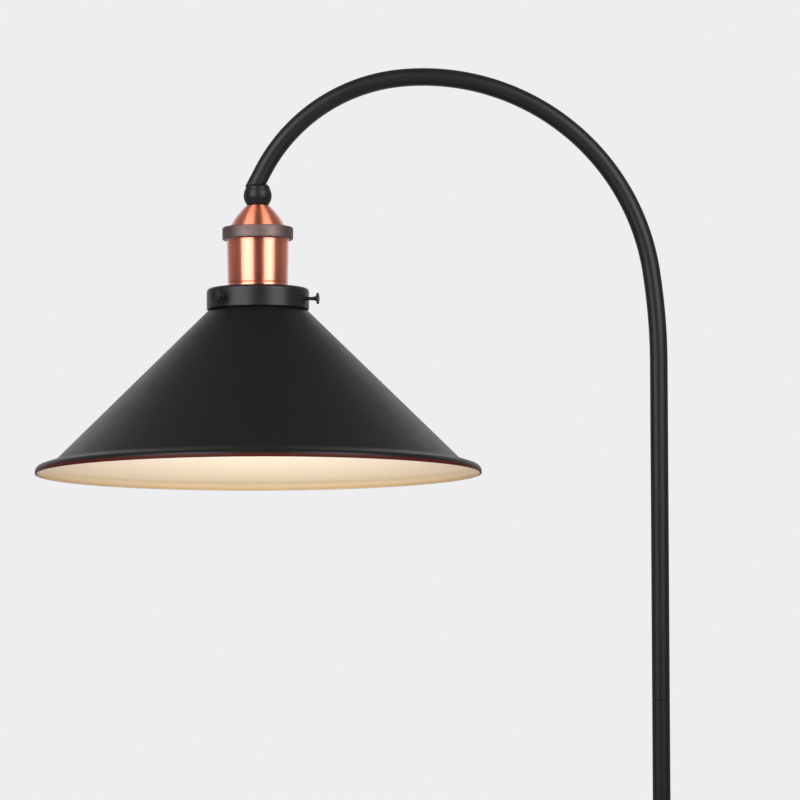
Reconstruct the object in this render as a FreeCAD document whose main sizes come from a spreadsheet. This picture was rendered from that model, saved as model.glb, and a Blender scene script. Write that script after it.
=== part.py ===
import FreeCAD, Part
import Sketcher
import math
import os
import re

# Column floor lamp: a round weighted base, a thin pole in three screwed
# sections, an arched arm, a ball swivel and a hanging lamp head with a
# copper lampholder and a wide conical shade.
# Origin: centre of the base's underside, on the pole's axis. +Z is up, the
# lamp head hangs on the -X side and the cord inlet is on the +X side.

doc = FreeCAD.newDocument("column_floor_lamp")
sheet = doc.addObject("Spreadsheet::Sheet", "Sizes")

# Each row: the size's name, its value or formula in millimetres or degrees,
# and what it measures.
SIZES = (
    # Base
    ("base_radius", "130", "outer radius of the spun cover"),
    ("base_edge_height", "24", "top of the cover's edge above the floor"),
    ("base_crown", "4", "rise of the cover from its edge to the pole"),
    ("base_corner", "6", "outer corner radius of the cover"),
    ("base_crown_flat", "22", "radius of the flat middle of the cover"),
    ("base_top", "=base_edge_height + base_crown", "top of the base"),
    ("cover_wall", "1.2", "sheet of the cover"),
    ("cover_skirt_gap", "1", "cover's lower edge above the floor"),
    ("felt_thickness", "2", "felt pad"),
    ("felt_inset", "6", "felt pad inside the cover's edge"),
    ("weight_gap", "0.5", "cast weight inside the cover's skirt"),
    ("nut_well_radius", "16", "well for the nut under the weight"),
    ("nut_well_roof", "6.8", "iron left above the well"),
    ("cord_channel_width", "10", "channel from the inlet to the well"),
    ("cord_channel_depth", "9.5", "channel above the felt"),
    ("inlet_height", "7", "middle of the cord inlet above the floor"),
    ("bushing_neck_radius", "4.2", "bushing in the cover's hole"),
    ("bushing_bore_radius", "2.6", "bore for the cord"),
    ("bushing_neck_length", "6.2", "neck from the cover's face inwards"),
    ("bushing_flange_radius", "5.4", "bushing flange"),
    ("bushing_flange_thickness", "1.6", "bushing flange"),
    ("bushing_edge", "0.5", "rounded edge of the flange"),
    ("base_washer_radius", "13", "washer under the weight"),
    ("base_washer_thickness", "1.6", "washer under the weight"),
    ("base_nut_radius", "7.5", "corner radius of the base nut"),
    ("base_nut_height", "5", "base nut"),
    ("stud_overhang", "0.4", "stud past the base nut"),
    ("well_top", "=base_top - cover_wall - nut_well_roof", "roof of the nut well"),
    ("washer_bottom", "=well_top - base_washer_thickness", "base washer"),
    ("nut_bottom", "=washer_bottom - base_nut_height", "base nut"),
    ("stud_bottom", "=nut_bottom - stud_overhang", "base stud"),
    # Pole
    ("tube_radius", "6", "pole and arm tube, outside"),
    ("tube_wall", "1", "pole and arm tube"),
    ("tube_bore", "=tube_radius - tube_wall", "pole and arm tube, inside"),
    ("tube_chamfer", "0.3", "broken edge at each joint"),
    ("section_length", "358", "one straight pole section"),
    ("stud_radius", "4", "hollow threaded stud"),
    ("stud_bore_radius", "2.6", "wire way through a stud"),
    ("stud_reach", "18", "stud on each side of a joint"),
    ("sleeve_length", "20", "tapped sleeve pressed in a tube's end"),
    ("foot_radius", "17", "turned foot collar"),
    ("foot_height", "16", "turned foot collar"),
    ("foot_neck", "2.2", "foot collar's wall at its top"),
    ("foot_rim", "3", "straight edge at the foot collar's bottom"),
    ("foot_curve", "18", "hollow curve of the foot collar"),
    ("joint_low", "=base_top + section_length", "lower pole joint"),
    ("joint_mid", "=joint_low + section_length", "middle pole joint"),
    ("joint_arm", "=joint_mid + section_length", "joint of pole and arm"),
    # Arched arm
    ("arm_straight", "227", "arm from its joint to the start of the bend"),
    ("entry_radius", "415", "first gentle bend"),
    ("entry_turn", "8.7", "degrees"),
    ("main_radius", "155.3", "main bend over the top"),
    ("main_turn", "86.8", "degrees"),
    ("tip_radius", "117", "closer bend towards the tip"),
    ("tip_turn", "57", "degrees"),
    ("tip_straight", "12", "straight end of the arm"),
    ("tip_offset", "1.7", "arm's end outboard of the head's axis"),
    ("main_end", "=entry_turn + main_turn", "degrees turned after the main bend"),
    ("tip_end", "=main_end + tip_turn", "degrees turned at the tip"),
    ("bend_z", "=joint_arm + arm_straight", "start of the arch"),
    ("entry_x", "=entry_radius * (1 - cos(entry_turn))", "end of the entry bend"),
    ("entry_z", "=bend_z + entry_radius * sin(entry_turn)", "end of the entry bend"),
    ("main_x", "=entry_x + main_radius * (cos(entry_turn) - cos(main_end))", "end of the main bend"),
    ("main_z", "=entry_z + main_radius * (sin(main_end) - sin(entry_turn))", "end of the main bend"),
    ("bend_end_x", "=main_x + tip_radius * (cos(main_end) - cos(tip_end))", "end of the tip bend"),
    ("bend_end_z", "=main_z + tip_radius * (sin(tip_end) - sin(main_end))", "end of the tip bend"),
    ("tip_x", "=bend_end_x + tip_straight * sin(tip_end)", "arm's end from the pole"),
    ("tip_z", "=bend_end_z + tip_straight * cos(tip_end)", "arm's end above the floor"),
    ("reach", "=tip_x - tip_offset", "head's axis from the pole's axis"),
    # Flex inside the pole
    ("flex_radius", "2.2", "sheathed flex"),
    ("flex_bend", "6", "flex bend under the pole"),
    ("flex_setback", "3", "flex end inside the tube's tip"),
    # Ball swivel, measured from the ball's centre
    ("ball_radius", "9.5", "ball"),
    ("ball_flat", "6.5", "ball's flat above and mouth below the centre"),
    ("ball_wall", "1.6", "wall round the cavity"),
    ("ball_roof", "2.6", "top wall"),
    ("ball_hole_radius", "3.2", "wire hole in the top"),
    ("cavity_chamfer", "1.1", "slanted top edge of the cavity"),
    ("swivel_fit", "0.1", "running clearance of the swivel"),
    ("cup_wall", "0.9", "friction cup"),
    ("cup_rise", "1.4", "cup and stem head above the centre"),
    ("cup_mouth_angle", "51", "cup's lower edge, degrees from straight down"),
    ("pin_radius", "0.9", "tilt pins"),
    ("pin_inner", "3.6", "inner end of a tilt pin from the centre"),
    ("stem_neck_radius", "3.2", "neck through the ball's mouth"),
    ("stem_bore_radius", "2.2", "wire way in the stem"),
    ("stem_gap", "0.4", "shoulder under the ball"),
    ("shoulder_radius", "4.6", "shoulder on the cap"),
    ("shoulder_thickness", "0.9", "shoulder on the cap"),
    ("stem_thread_length", "10", "threaded end of the stem"),
    ("stem_washer_radius", "6", "washer inside the cap"),
    ("stem_washer_thickness", "0.6", "washer inside the cap"),
    ("stem_nut_radius", "7", "corner radius of the stem's nut"),
    ("stem_nut_height", "4", "stem's nut"),
    ("ball_z", "=tip_z - ball_flat", "ball's centre above the floor"),
    ("mouth_radius", "=sqrt(ball_radius^2 - ball_flat^2)", "ball's flat and mouth"),
    ("cavity_radius", "=ball_radius - ball_wall", "ball's cavity"),
    ("cup_outer", "=cavity_radius - swivel_fit", "friction cup, outside"),
    ("cup_inner", "=cup_outer - cup_wall", "friction cup, inside"),
    ("stem_head", "=cup_inner - swivel_fit", "stem's round head"),
    ("shoulder_z", "=-ball_radius - stem_gap", "shoulder's top"),
    ("cap_floor_z", "=shoulder_z - shoulder_thickness", "floor of the cap's well"),
    ("cap_under_z", "=cap_floor_z - cap_wall", "underside of that floor"),
    ("stem_end_z", "=cap_floor_z - stem_thread_length", "stem's end"),
    # Copper cap, dark ring and copper shell
    ("dish_radius", "9.9", "cap's dished top round the ball"),
    ("cap_mouth_radius", "7.3", "edge of the dish"),
    ("cap_rim", "0.6", "flat rim round the dish"),
    ("cap_well_radius", "5.4", "well for the stem's shoulder"),
    ("cap_wall", "0.8", "copper sheet"),
    ("cap_side_radius", "53", "bulge of the cap's side"),
    ("cap_foot_radius", "19", "cap where it enters the ring"),
    ("cap_flange_radius", "21.3", "cap's flange under the ring"),
    ("cap_flange_thickness", "1", "cap's flange"),
    ("ring_drop", "21.4", "ring's top below the ball's centre"),
    ("ring_radius", "23.9", "dark clamp ring"),
    ("ring_height", "8.6", "dark clamp ring"),
    ("ring_corner", "1.2", "rounded edges of the ring"),
    ("ring_lip", "1.6", "ring's lip over the cap's flange"),
    ("part_gap", "0.1", "clearance between clamped parts"),
    ("shell_top_radius", "21", "copper shell below the ring"),
    ("shell_foot_radius", "20.4", "copper shell at its bead"),
    ("shell_collar_radius", "21.6", "threaded top of the shell"),
    ("shell_step", "0.6", "slant under the threaded collar"),
    ("shell_length", "32.8", "shell from the ring to the shade holder"),
    ("shell_bead", "2.9", "rolled bead at the shell's foot"),
    ("shell_bead_radius", "2.6", "section radius of the bead"),
    ("shell_wall", "0.8", "copper sheet"),
    ("cap_rim_z", "=-sqrt(dish_radius^2 - cap_mouth_radius^2)", "cap's rim"),
    ("ring_top_z", "=-ring_drop", "ring's top"),
    ("ring_bottom_z", "=ring_top_z - ring_height", "ring's bottom"),
    ("flange_top_z", "=ring_top_z - ring_lip - part_gap", "cap's flange"),
    ("flange_bottom_z", "=flange_top_z - cap_flange_thickness", "cap's flange"),
    ("shell_end_z", "=ring_bottom_z - shell_length", "shell's foot and holder's top"),
    ("bead_z", "=shell_end_z + shell_bead", "top of the bead"),
    ("ledge_z", "=shell_end_z + shell_wall", "ledge that carries the socket body"),
    # Socket inside the shell
    ("liner_wall", "0.5", "fibre liner above the socket body"),
    ("body_radius", "19.4", "socket body inside the shell"),
    ("body_height", "15", "socket body above the shade holder"),
    ("body_roof", "4", "socket body's top wall"),
    ("skirt_radius", "18.6", "threaded skirt through the shade holder"),
    ("skirt_length", "23.2", "skirt below the shell"),
    ("contact_well_radius", "9.5", "well for the centre contact"),
    ("contact_well_depth", "6", "well for the centre contact"),
    ("screw_shell_bore", "13.3", "screw shell, inside radius"),
    ("screw_shell_wall", "0.5", "screw shell"),
    ("screw_shell_lip", "3.3", "in-turned top of the screw shell"),
    ("screw_shell_setback", "1", "screw shell inside the skirt's end"),
    ("contact_half_length", "6", "centre contact strip"),
    ("contact_bend", "1.8", "half run of the strip's slanted part"),
    ("contact_drop", "4.6", "depth that the strip reaches down"),
    ("contact_thickness", "0.5", "centre contact strip"),
    ("contact_width", "5", "centre contact strip"),
    ("terminal_offset", "8.5", "terminals from the middle"),
    ("terminal_width", "5", "terminal tab across"),
    ("terminal_back", "2", "terminal tab behind the wire"),
    ("terminal_length", "8", "terminal tab"),
    ("terminal_thickness", "1", "terminal tab"),
    ("terminal_screw_offset", "3.2", "terminal screw beside the wire"),
    ("terminal_shank_radius", "1.2", "terminal screw"),
    ("terminal_shank_length", "2.5", "terminal screw in the body"),
    ("terminal_head_radius", "2.1", "terminal screw"),
    ("terminal_head_height", "1.6", "terminal screw"),
    ("wire_radius", "0.9", "one insulated core"),
    ("wire_offset", "1.1", "core from the stem's axis"),
    ("wire_bend", "5", "bend radius of a core"),
    ("wire_turn", "40", "degrees of each bend"),
    ("wire_tail", "2", "straight end of a core"),
    ("body_top_z", "=shell_end_z + body_height", "socket body's top"),
    ("ceiling_z", "=body_top_z - body_roof", "roof of the contact well"),
    ("step_z", "=ceiling_z - contact_well_depth", "seat of the screw shell"),
    ("skirt_end_z", "=shell_end_z - skirt_length", "skirt's end"),
    ("screw_shell_end_z", "=skirt_end_z + screw_shell_setback", "screw shell's mouth"),
    ("screw_shell_radius", "=screw_shell_bore + screw_shell_wall", "screw shell, outside"),
    ("tab_top_z", "=body_top_z + terminal_thickness", "top of a terminal tab"),
    ("wire_shift", "=wire_bend * (1 - cos(wire_turn))", "sideways run of one bend"),
    ("wire_dip", "=wire_bend * sin(wire_turn)", "drop of one bend"),
    ("wire_slant_x", "=terminal_offset - wire_offset - 2 * wire_shift", "slanted part"),
    ("wire_slant_z", "=wire_slant_x * cos(wire_turn) / sin(wire_turn)", "slanted part"),
    ("wire_low_z", "=tab_top_z + wire_tail", "end of the lower bend"),
    ("wire_high_z", "=wire_low_z + 2 * wire_dip + wire_slant_z", "start of the upper bend"),
    # Shade holder, its ring nut and the thumbscrews
    ("holder_radius", "34.5", "shade holder"),
    ("holder_height", "14.2", "shade holder"),
    ("holder_wall", "1.2", "shade holder"),
    ("holder_corner", "2.6", "shade holder's top edge"),
    ("holder_hole_gap", "0.2", "holder's hole round the skirt"),
    ("retainer_radius", "24.5", "ring nut under the holder"),
    ("retainer_height", "5.5", "ring nut under the holder"),
    ("retainer_notch", "1.2", "grip notches in the ring nut"),
    ("holder_bottom_z", "=shell_end_z - holder_height", "holder's lower edge"),
    ("holder_inner", "=holder_radius - holder_wall", "holder, inside"),
    ("holder_under_z", "=shell_end_z - holder_wall", "underside of the holder's top"),
    ("screw_drop", "7.6", "thumbscrews below the holder's top"),
    ("screw_angle", "-12", "first thumbscrew, degrees from +X"),
    ("screw_radius", "1.25", "thumbscrew's thread"),
    ("screw_tip", "0.4", "chamfer of the screw's tip"),
    ("screw_tip_gap", "0.1", "screw tip off the shade's neck"),
    ("screw_shank", "4.1", "shank from the holder to the head"),
    ("screw_flare", "2.3", "flared back of the head"),
    ("screw_flare_radius", "2.6", "curve of the flare"),
    ("screw_head_radius", "3.9", "thumbscrew's head"),
    ("screw_disc", "0.8", "edge of the head"),
    ("screw_dome", "0.3", "domed face of the head"),
    ("screw_z", "=shell_end_z - screw_drop", "thumbscrews"),
    ("screw_start_x", "=neck_radius + screw_tip_gap", "screw's tip"),
    ("shank_end_x", "=holder_radius + screw_shank", "screw's shank"),
    ("flare_end_x", "=shank_end_x + screw_flare", "screw's flare"),
    ("disc_end_x", "=flare_end_x + screw_disc", "screw's head"),
    ("dome_radius", "=(screw_head_radius^2 + screw_dome^2) / (2 * screw_dome)", "domed face"),
    # Shade
    ("shade_wall", "0.8", "shade sheet"),
    ("neck_gap", "0.4", "shade's neck inside the holder"),
    ("neck_top_gap", "0.3", "shade's neck under the holder's top"),
    ("neck_lip", "6", "in-turned lip of the neck"),
    ("neck_corner", "1.5", "rounded top edge of the neck"),
    ("neck_radius", "=holder_inner - neck_gap", "shade's neck"),
    ("neck_top_z", "=holder_under_z - neck_top_gap", "shade's neck"),
    ("shoulder_drop", "1.1", "cone's top below the holder"),
    ("shoulder_height", "2", "hollow curve from neck to cone"),
    ("shoulder_run", "0.83", "hollow curve from neck to cone"),
    ("shoulder_curve", "2.83", "hollow curve from neck to cone"),
    ("cone_radius", "136.3", "cone's lower end"),
    ("cone_height", "100.8", "height of the cone"),
    ("shade_radius", "150.2", "rim"),
    ("lip_slope", "18", "flared lip, degrees below level"),
    ("lip_corner", "4.5", "rounding from lip to edge"),
    ("lip_height", "9", "from the cone to the rim's edge"),
    ("hem_wall", "0.6", "extra wall of the folded hem"),
    ("hem_height", "0.9", "folded hem"),
    ("cone_top_radius", "=neck_radius + shoulder_run", "cone's top"),
    ("cone_top_z", "=holder_bottom_z - shoulder_drop", "cone's top"),
    ("cone_end_z", "=cone_top_z - cone_height", "cone's lower end"),
    ("rim_z", "=cone_end_z - lip_height", "rim's lower edge"),
    ("lip_run", "=shade_radius - cone_radius - lip_corner * (1 - sin(lip_slope))", "flat part of the lip"),
    ("lip_fall", "=lip_run * tan(lip_slope)", "drop of that part"),
    ("edge_z", "=cone_end_z - lip_fall - lip_corner * cos(lip_slope)", "top of the upright edge"),
    ("cone_rate", "=cone_height / (cone_radius - cone_top_radius)", "drop of the cone per radius"),
    ("cone_sink", "=shade_wall * sqrt(1 + cone_rate^2)", "cone's inside below its outside"),
    ("lip_sink", "=shade_wall * sqrt(1 + tan(lip_slope)^2)", "lip's inside below its outside"),
    ("corner_shift", "=(cone_sink - lip_sink) / (cone_rate - tan(lip_slope))", "inner corner of cone and lip"),
)
NAMES = {row[0] for row in SIZES}

# Where the lamp head's pieces are drawn from: the ball's centre.
HEAD = ("-reach", "0", "ball_z")
FLOOR = ("0", "0", "0")


def bound(text):
    """The text as an expression, with every size looked up in the sheet."""
    return re.sub(r"[A-Za-z_]\w*", lambda m: "Sizes." + m.group() if m.group() in NAMES else m.group(), text)


def value(text):
    return float(sheet.evalExpression(bound(text)))


def tie(item, prop, text):
    item.setExpression(prop, bound(text))


def fill_sheet():
    """Name every cell first, so that a formula may use a size from further down."""
    for row, (name, size, note) in enumerate(SIZES, start=1):
        sheet.set("A%d" % row, name)
        sheet.set("C%d" % row, note)
        sheet.setAlias("B%d" % row, name)
    for row, (name, size, note) in enumerate(SIZES, start=1):
        sheet.set("B%d" % row, size)
    doc.recompute()


# Drawing aids


def put(item, place, turn="0"):
    """Turn an object about Z by a named angle and tie its place to the sizes."""
    item.Placement = FreeCAD.Placement(FreeCAD.Vector(), FreeCAD.Rotation(FreeCAD.Vector(0, 0, 1), value(turn)))
    for axis, text in zip("xyz", place):
        if text != "0":
            tie(item, "Placement.Base." + axis, text)


def new_body(label, place, turn="0"):
    body = doc.addObject("PartDesign::Body", label)
    body.Label = label
    put(body, place, turn)
    return body


def new_sketch(body, role, name, lift="0"):
    """A sketch on one of the body's own planes, lifted along the plane's normal."""
    sketch = body.newObject("Sketcher::SketchObject", body.Name + "_" + name)
    plane = [item for item in body.Origin.OriginFeatures if item.Role == role][0]
    sketch.AttachmentSupport = (plane, [""])
    sketch.MapMode = "FlatFace"
    if lift != "0":
        tie(sketch, "AttachmentOffset.Base.z", lift)
    return sketch


def short_arc(start, end, radius, sense):
    """The arc of less than half a turn from start to end, turning left for sense 1."""
    half = (end - start).Length / 2
    rise = math.sqrt(radius * radius - half * half)
    left = FreeCAD.Vector(start.y - end.y, end.x - start.x, 0).normalize()
    centre = (start + end) / 2 + left * (rise * sense)
    first, last = (start, end) if sense > 0 else (end, start)
    angles = [math.atan2(spot.y - centre.y, spot.x - centre.x) for spot in (first, last)]
    return Part.ArcOfCircle(Part.Circle(centre, FreeCAD.Vector(0, 0, 1), radius), *angles)


def fix(sketch, edge, end, place):
    """Hold one point of an edge at a named place."""
    kinds = (("DistanceX", -2, place[0]), ("DistanceY", -1, place[1]))
    for kind, axis, text in kinds:
        if text == "0":
            sketch.addConstraint(Sketcher.Constraint("PointOnObject", edge, end, axis))
        else:
            number = sketch.addConstraint(Sketcher.Constraint(kind, -1, 1, edge, end, value(text)))
            tie(sketch, "Constraints[%d]" % number, text)


def fix_radius(sketch, edge, text):
    number = sketch.addConstraint(Sketcher.Constraint("Radius", edge, value(text)))
    tie(sketch, "Constraints[%d]" % number, text)


def draw(sketch, points, closed=True):
    """Join points (x, y) by lines, and by an arc after a point (x, y, radius, sense)."""
    spots = [FreeCAD.Vector(value(point[0]), value(point[1]), 0) for point in points]
    count = len(points) if closed else len(points) - 1
    edges = []
    for index in range(count):
        start, end = spots[index], spots[(index + 1) % len(points)]
        if len(points[index]) == 4:
            radius, sense = points[index][2:]
            edge = sketch.addGeometry(short_arc(start, end, value(radius), sense))
            edges.append((edge, 1, 2) if sense > 0 else (edge, 2, 1))
        else:
            edges.append((sketch.addGeometry(Part.LineSegment(start, end)), 1, 2))
    for index in range(count if closed else count - 1):
        edge, _, end = edges[index]
        following, start, _ = edges[(index + 1) % count]
        sketch.addConstraint(Sketcher.Constraint("Coincident", edge, end, following, start))
    for index in range(count):
        fix(sketch, edges[index][0], edges[index][1], points[index])
    if not closed:
        fix(sketch, edges[-1][0], edges[-1][2], points[-1])
    for index in range(count):
        if len(points[index]) == 4:
            fix_radius(sketch, edges[index][0], points[index][2])
    return sketch


def draw_circle(sketch, radius, place=("0", "0")):
    centre = FreeCAD.Vector(value(place[0]), value(place[1]), 0)
    edge = sketch.addGeometry(Part.Circle(centre, FreeCAD.Vector(0, 0, 1), value(radius)))
    fix(sketch, edge, 3, place)
    fix_radius(sketch, edge, radius)
    return sketch


# Ways of making a piece


def turned(label, points, place=FLOOR, turn="0", axis="V_Axis"):
    """A piece turned about the upright axis, or the level one, from a half section."""
    body = new_body(label, place, turn)
    sketch = draw(new_sketch(body, "XZ_Plane", "section"), points)
    spin = body.newObject("PartDesign::Revolution", label + "_turned")
    spin.Profile = sketch
    spin.ReferenceAxis = (sketch, [axis])
    spin.Angle = 360
    return body


def cut_out(body, sketch, name, length=None, reverse=False):
    """A pocket through everything both ways, or to a named length one way."""
    pocket = body.newObject("PartDesign::Pocket", body.Name + "_" + name)
    pocket.Profile = sketch
    pocket.Type = "ThroughAll" if length is None else "Length"
    pocket.Midplane = length is None
    pocket.Reversed = reverse
    if length is not None:
        tie(pocket, "Length", length)
    return pocket


def repeat_round(body, feature, count):
    """Copies of a feature spread evenly round the body's upright axis."""
    pattern = body.newObject("PartDesign::PolarPattern", feature.Name + "_pattern")
    pattern.Originals = [feature]
    pattern.Axis = ([item for item in body.Origin.OriginFeatures if item.Role == "Z_Axis"][0], [""])
    pattern.Angle = 360
    pattern.Occurrences = count
    body.Tip = pattern
    return pattern


def swept(label, path, radii, place, plane, start, lift):
    """A tube or wire along a path in the XZ plane, with its section where the path starts."""
    body = new_body(label, place)
    spine = draw(new_sketch(body, "XZ_Plane", "path"), path, closed=False)
    section = new_sketch(body, plane, "section", lift)
    for radius in radii:
        draw_circle(section, radius, start)
    pipe = body.newObject("PartDesign::AdditivePipe", label + "_swept")
    pipe.Profile = section
    pipe.Spine = spine
    return body


def cylinder(name, radius, bottom, height, place=FLOOR):
    """A plain cylinder that stands on a named height above its place."""
    solid = doc.addObject("Part::Cylinder", name)
    tie(solid, "Radius", radius)
    tie(solid, "Height", height)
    put(solid, (place[0], place[1], "%s + %s" % (place[2], bottom)))
    return solid


def combined(kind, label, base, tool):
    """A cut or a fusion of two solids."""
    result = doc.addObject(kind, label)
    result.Label = label
    result.Base = base
    result.Tool = tool
    return result


def sleeve(label, inner, outer, bottom, height, place=FLOOR):
    """A plain tube: one cylinder less another."""
    outside = cylinder(label + "_outside", outer, bottom, height, place)
    inside = cylinder(label + "_inside", inner, bottom, height, place)
    return combined("Part::Cut", label, outside, inside)


def hexagon_nut(label, corner_radius, bore, bottom, height, place=FLOOR):
    """A six-sided prism less its bore."""
    prism = doc.addObject("Part::Prism", label + "_prism")
    prism.Polygon = 6
    tie(prism, "Circumradius", corner_radius)
    tie(prism, "Height", height)
    put(prism, (place[0], place[1], "%s + %s" % (place[2], bottom)))
    return combined("Part::Cut", label, prism, cylinder(label + "_bore", bore, bottom, height, place))


def group(label, pieces):
    """Like pieces that are listed as one."""
    bundle = doc.addObject("Part::Compound", label)
    bundle.Label = label
    bundle.Links = pieces
    return bundle


# Base


def make_felt_pad():
    radius = "base_radius - felt_inset"
    return turned("felt_pad", (("0", "0"), (radius, "0"), (radius, "felt_thickness"), ("0", "felt_thickness")))


def make_base_weight():
    """Cast disc with a well for the nut and a channel from there to the inlet."""
    radius = "base_radius - cover_wall - weight_gap"
    edge_top = "base_edge_height - cover_wall"
    body = turned("base_weight", (
        ("stud_radius", "well_top"),
        ("nut_well_radius", "well_top"),
        ("nut_well_radius", "felt_thickness"),
        (radius, "felt_thickness"),
        (radius, edge_top + " - base_corner", "base_corner", 1),
        (radius + " - base_corner", edge_top),
        ("base_crown_flat", "base_top - cover_wall"),
        ("stud_radius", "base_top - cover_wall"),
    ))
    channel = draw(new_sketch(body, "YZ_Plane", "channel_section"), (
        ("-cord_channel_width / 2", "felt_thickness - weight_gap"),
        ("cord_channel_width / 2", "felt_thickness - weight_gap"),
        ("cord_channel_width / 2", "felt_thickness + cord_channel_depth"),
        ("-cord_channel_width / 2", "felt_thickness + cord_channel_depth"),
    ))
    cut_out(body, channel, "channel", "base_radius", reverse=True)
    return body


def make_base_cover():
    """Spun steel cover with a rounded edge, a low crown and a hole for the cord bushing."""
    inner_edge = "base_edge_height - cover_wall"
    body = turned("base_cover", (
        ("stud_radius", "base_top - cover_wall"),
        ("base_crown_flat", "base_top - cover_wall"),
        ("base_radius - base_corner", inner_edge, "base_corner - cover_wall", -1),
        ("base_radius - cover_wall", "base_edge_height - base_corner"),
        ("base_radius - cover_wall", "cover_skirt_gap"),
        ("base_radius", "cover_skirt_gap"),
        ("base_radius", "base_edge_height - base_corner", "base_corner", 1),
        ("base_radius - base_corner", "base_edge_height"),
        ("base_crown_flat", "base_top"),
        ("stud_radius", "base_top"),
    ))
    hole = draw_circle(new_sketch(body, "YZ_Plane", "inlet_circle"), "bushing_neck_radius", ("0", "inlet_height"))
    cut_out(body, hole, "inlet", "base_radius + cover_wall", reverse=True)
    return body


def make_cord_bushing():
    """Moulded bushing: a neck through the cover and a flange outside it."""
    return turned("cord_bushing", (
        ("-bushing_neck_length", "bushing_bore_radius"),
        ("bushing_flange_thickness", "bushing_bore_radius"),
        ("bushing_flange_thickness", "bushing_flange_radius - bushing_edge", "bushing_edge", 1),
        ("bushing_flange_thickness - bushing_edge", "bushing_flange_radius"),
        ("0", "bushing_flange_radius"),
        ("0", "bushing_neck_radius"),
        ("-bushing_neck_length", "bushing_neck_radius"),
    ), ("base_radius", "0", "inlet_height"), axis="H_Axis")


def make_base_fasteners():
    """The hollow stud that holds the pole down, with its washer and nut in the well."""
    stud = sleeve("base_stud", "stud_bore_radius", "stud_radius", "stud_bottom",
                  "base_top + stud_reach - stud_bottom")
    washer = sleeve("base_washer", "stud_radius", "base_washer_radius", "washer_bottom", "base_washer_thickness")
    nut = hexagon_nut("base_nut", "base_nut_radius", "stud_radius", "nut_bottom", "base_nut_height")
    return [stud, washer, nut]


# Pole


def make_pole_foot():
    """Turned collar that hides the joint of pole and base."""
    return turned("pole_foot", (
        ("tube_radius", "base_top"),
        ("foot_radius", "base_top"),
        ("foot_radius", "base_top + foot_rim", "foot_curve", -1),
        ("tube_radius + foot_neck", "base_top + foot_height"),
        ("tube_radius", "base_top + foot_height"),
    ))


def make_pole_section(label, bottom, top):
    """Straight tube with its outer edges broken at both ends."""
    return turned(label, (
        ("tube_bore", bottom),
        ("tube_radius - tube_chamfer", bottom),
        ("tube_radius", bottom + " + tube_chamfer"),
        ("tube_radius", top + " - tube_chamfer"),
        ("tube_radius - tube_chamfer", top),
        ("tube_bore", top),
    ))


def make_joint_fittings():
    """Tapped sleeves in the tubes' ends and the hollow studs that screw into them."""
    joints = ("joint_low", "joint_mid", "joint_arm")
    starts = ["base_top"]
    for joint in joints:
        starts += [joint + " - sleeve_length", joint]
    sleeves = [
        sleeve("tapped_sleeve_%d" % (index + 1), "stud_radius", "tube_bore", start, "sleeve_length")
        for index, start in enumerate(starts)
    ]
    studs = [
        sleeve("joint_stud_%d" % (index + 1), "stud_bore_radius", "stud_radius", joint + " - stud_reach",
               "2 * stud_reach")
        for index, joint in enumerate(joints)
    ]
    return [group("tapped_sleeves", sleeves), group("joint_studs", studs)]


def make_arched_arm():
    """One bent tube: straight, three arcs, straight, cut level where it meets the ball."""
    overrun = "2 * tube_radius"
    end_x = "-tip_x - %s * sin(tip_end)" % overrun
    end_z = "tip_z - joint_arm + %s * cos(tip_end)" % overrun
    path = (
        ("0", "0"),
        ("0", "arm_straight", "entry_radius", 1),
        ("-entry_x", "entry_z - joint_arm", "main_radius", 1),
        ("-main_x", "main_z - joint_arm", "tip_radius", 1),
        ("-bend_end_x", "bend_end_z - joint_arm"),
        (end_x, end_z),
    )
    place = ("0", "0", "joint_arm")
    body = swept("arched_arm", path, ("tube_radius", "tube_bore"), place, "XY_Plane", ("0", "0"), "0")
    level = "tip_z - joint_arm"
    below = draw(new_sketch(body, "XZ_Plane", "mitre_box"), (
        ("-tip_x - 2 * %s" % overrun, level + " - 2 * %s" % overrun),
        ("-tip_x + %s" % overrun, level + " - 2 * %s" % overrun),
        ("-tip_x + %s" % overrun, level),
        ("-tip_x - 2 * %s" % overrun, level),
    ))
    cut_out(body, below, "mitre")
    bevel = draw(new_sketch(body, "XZ_Plane", "bevel_section"), (
        ("tube_radius - tube_chamfer", "0"),
        ("tube_radius + tube_chamfer", "0"),
        ("tube_radius + tube_chamfer", "2 * tube_chamfer"),
    ))
    groove = body.newObject("PartDesign::Groove", "arched_arm_bevel")
    groove.Profile = bevel
    groove.ReferenceAxis = (bevel, ["V_Axis"])
    groove.Angle = 360
    return body


def make_supply_flex():
    """Sheathed flex from the bushing through the channel, the pole and the arm."""
    end = "(tip_straight - flex_setback)"
    path = (
        ("base_radius - bushing_neck_length", "inlet_height"),
        ("flex_bend", "inlet_height", "flex_bend", -1),
        ("0", "inlet_height + flex_bend"),
        ("0", "bend_z", "entry_radius", 1),
        ("-entry_x", "entry_z", "main_radius", 1),
        ("-main_x", "main_z", "tip_radius", 1),
        ("-bend_end_x", "bend_end_z"),
        ("-bend_end_x - %s * sin(tip_end)" % end, "bend_end_z + %s * cos(tip_end)" % end),
    )
    return swept("supply_flex", path, ("flex_radius",), FLOOR, "YZ_Plane", ("0", "inlet_height"),
                 "base_radius - bushing_neck_length")


# Ball swivel


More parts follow.
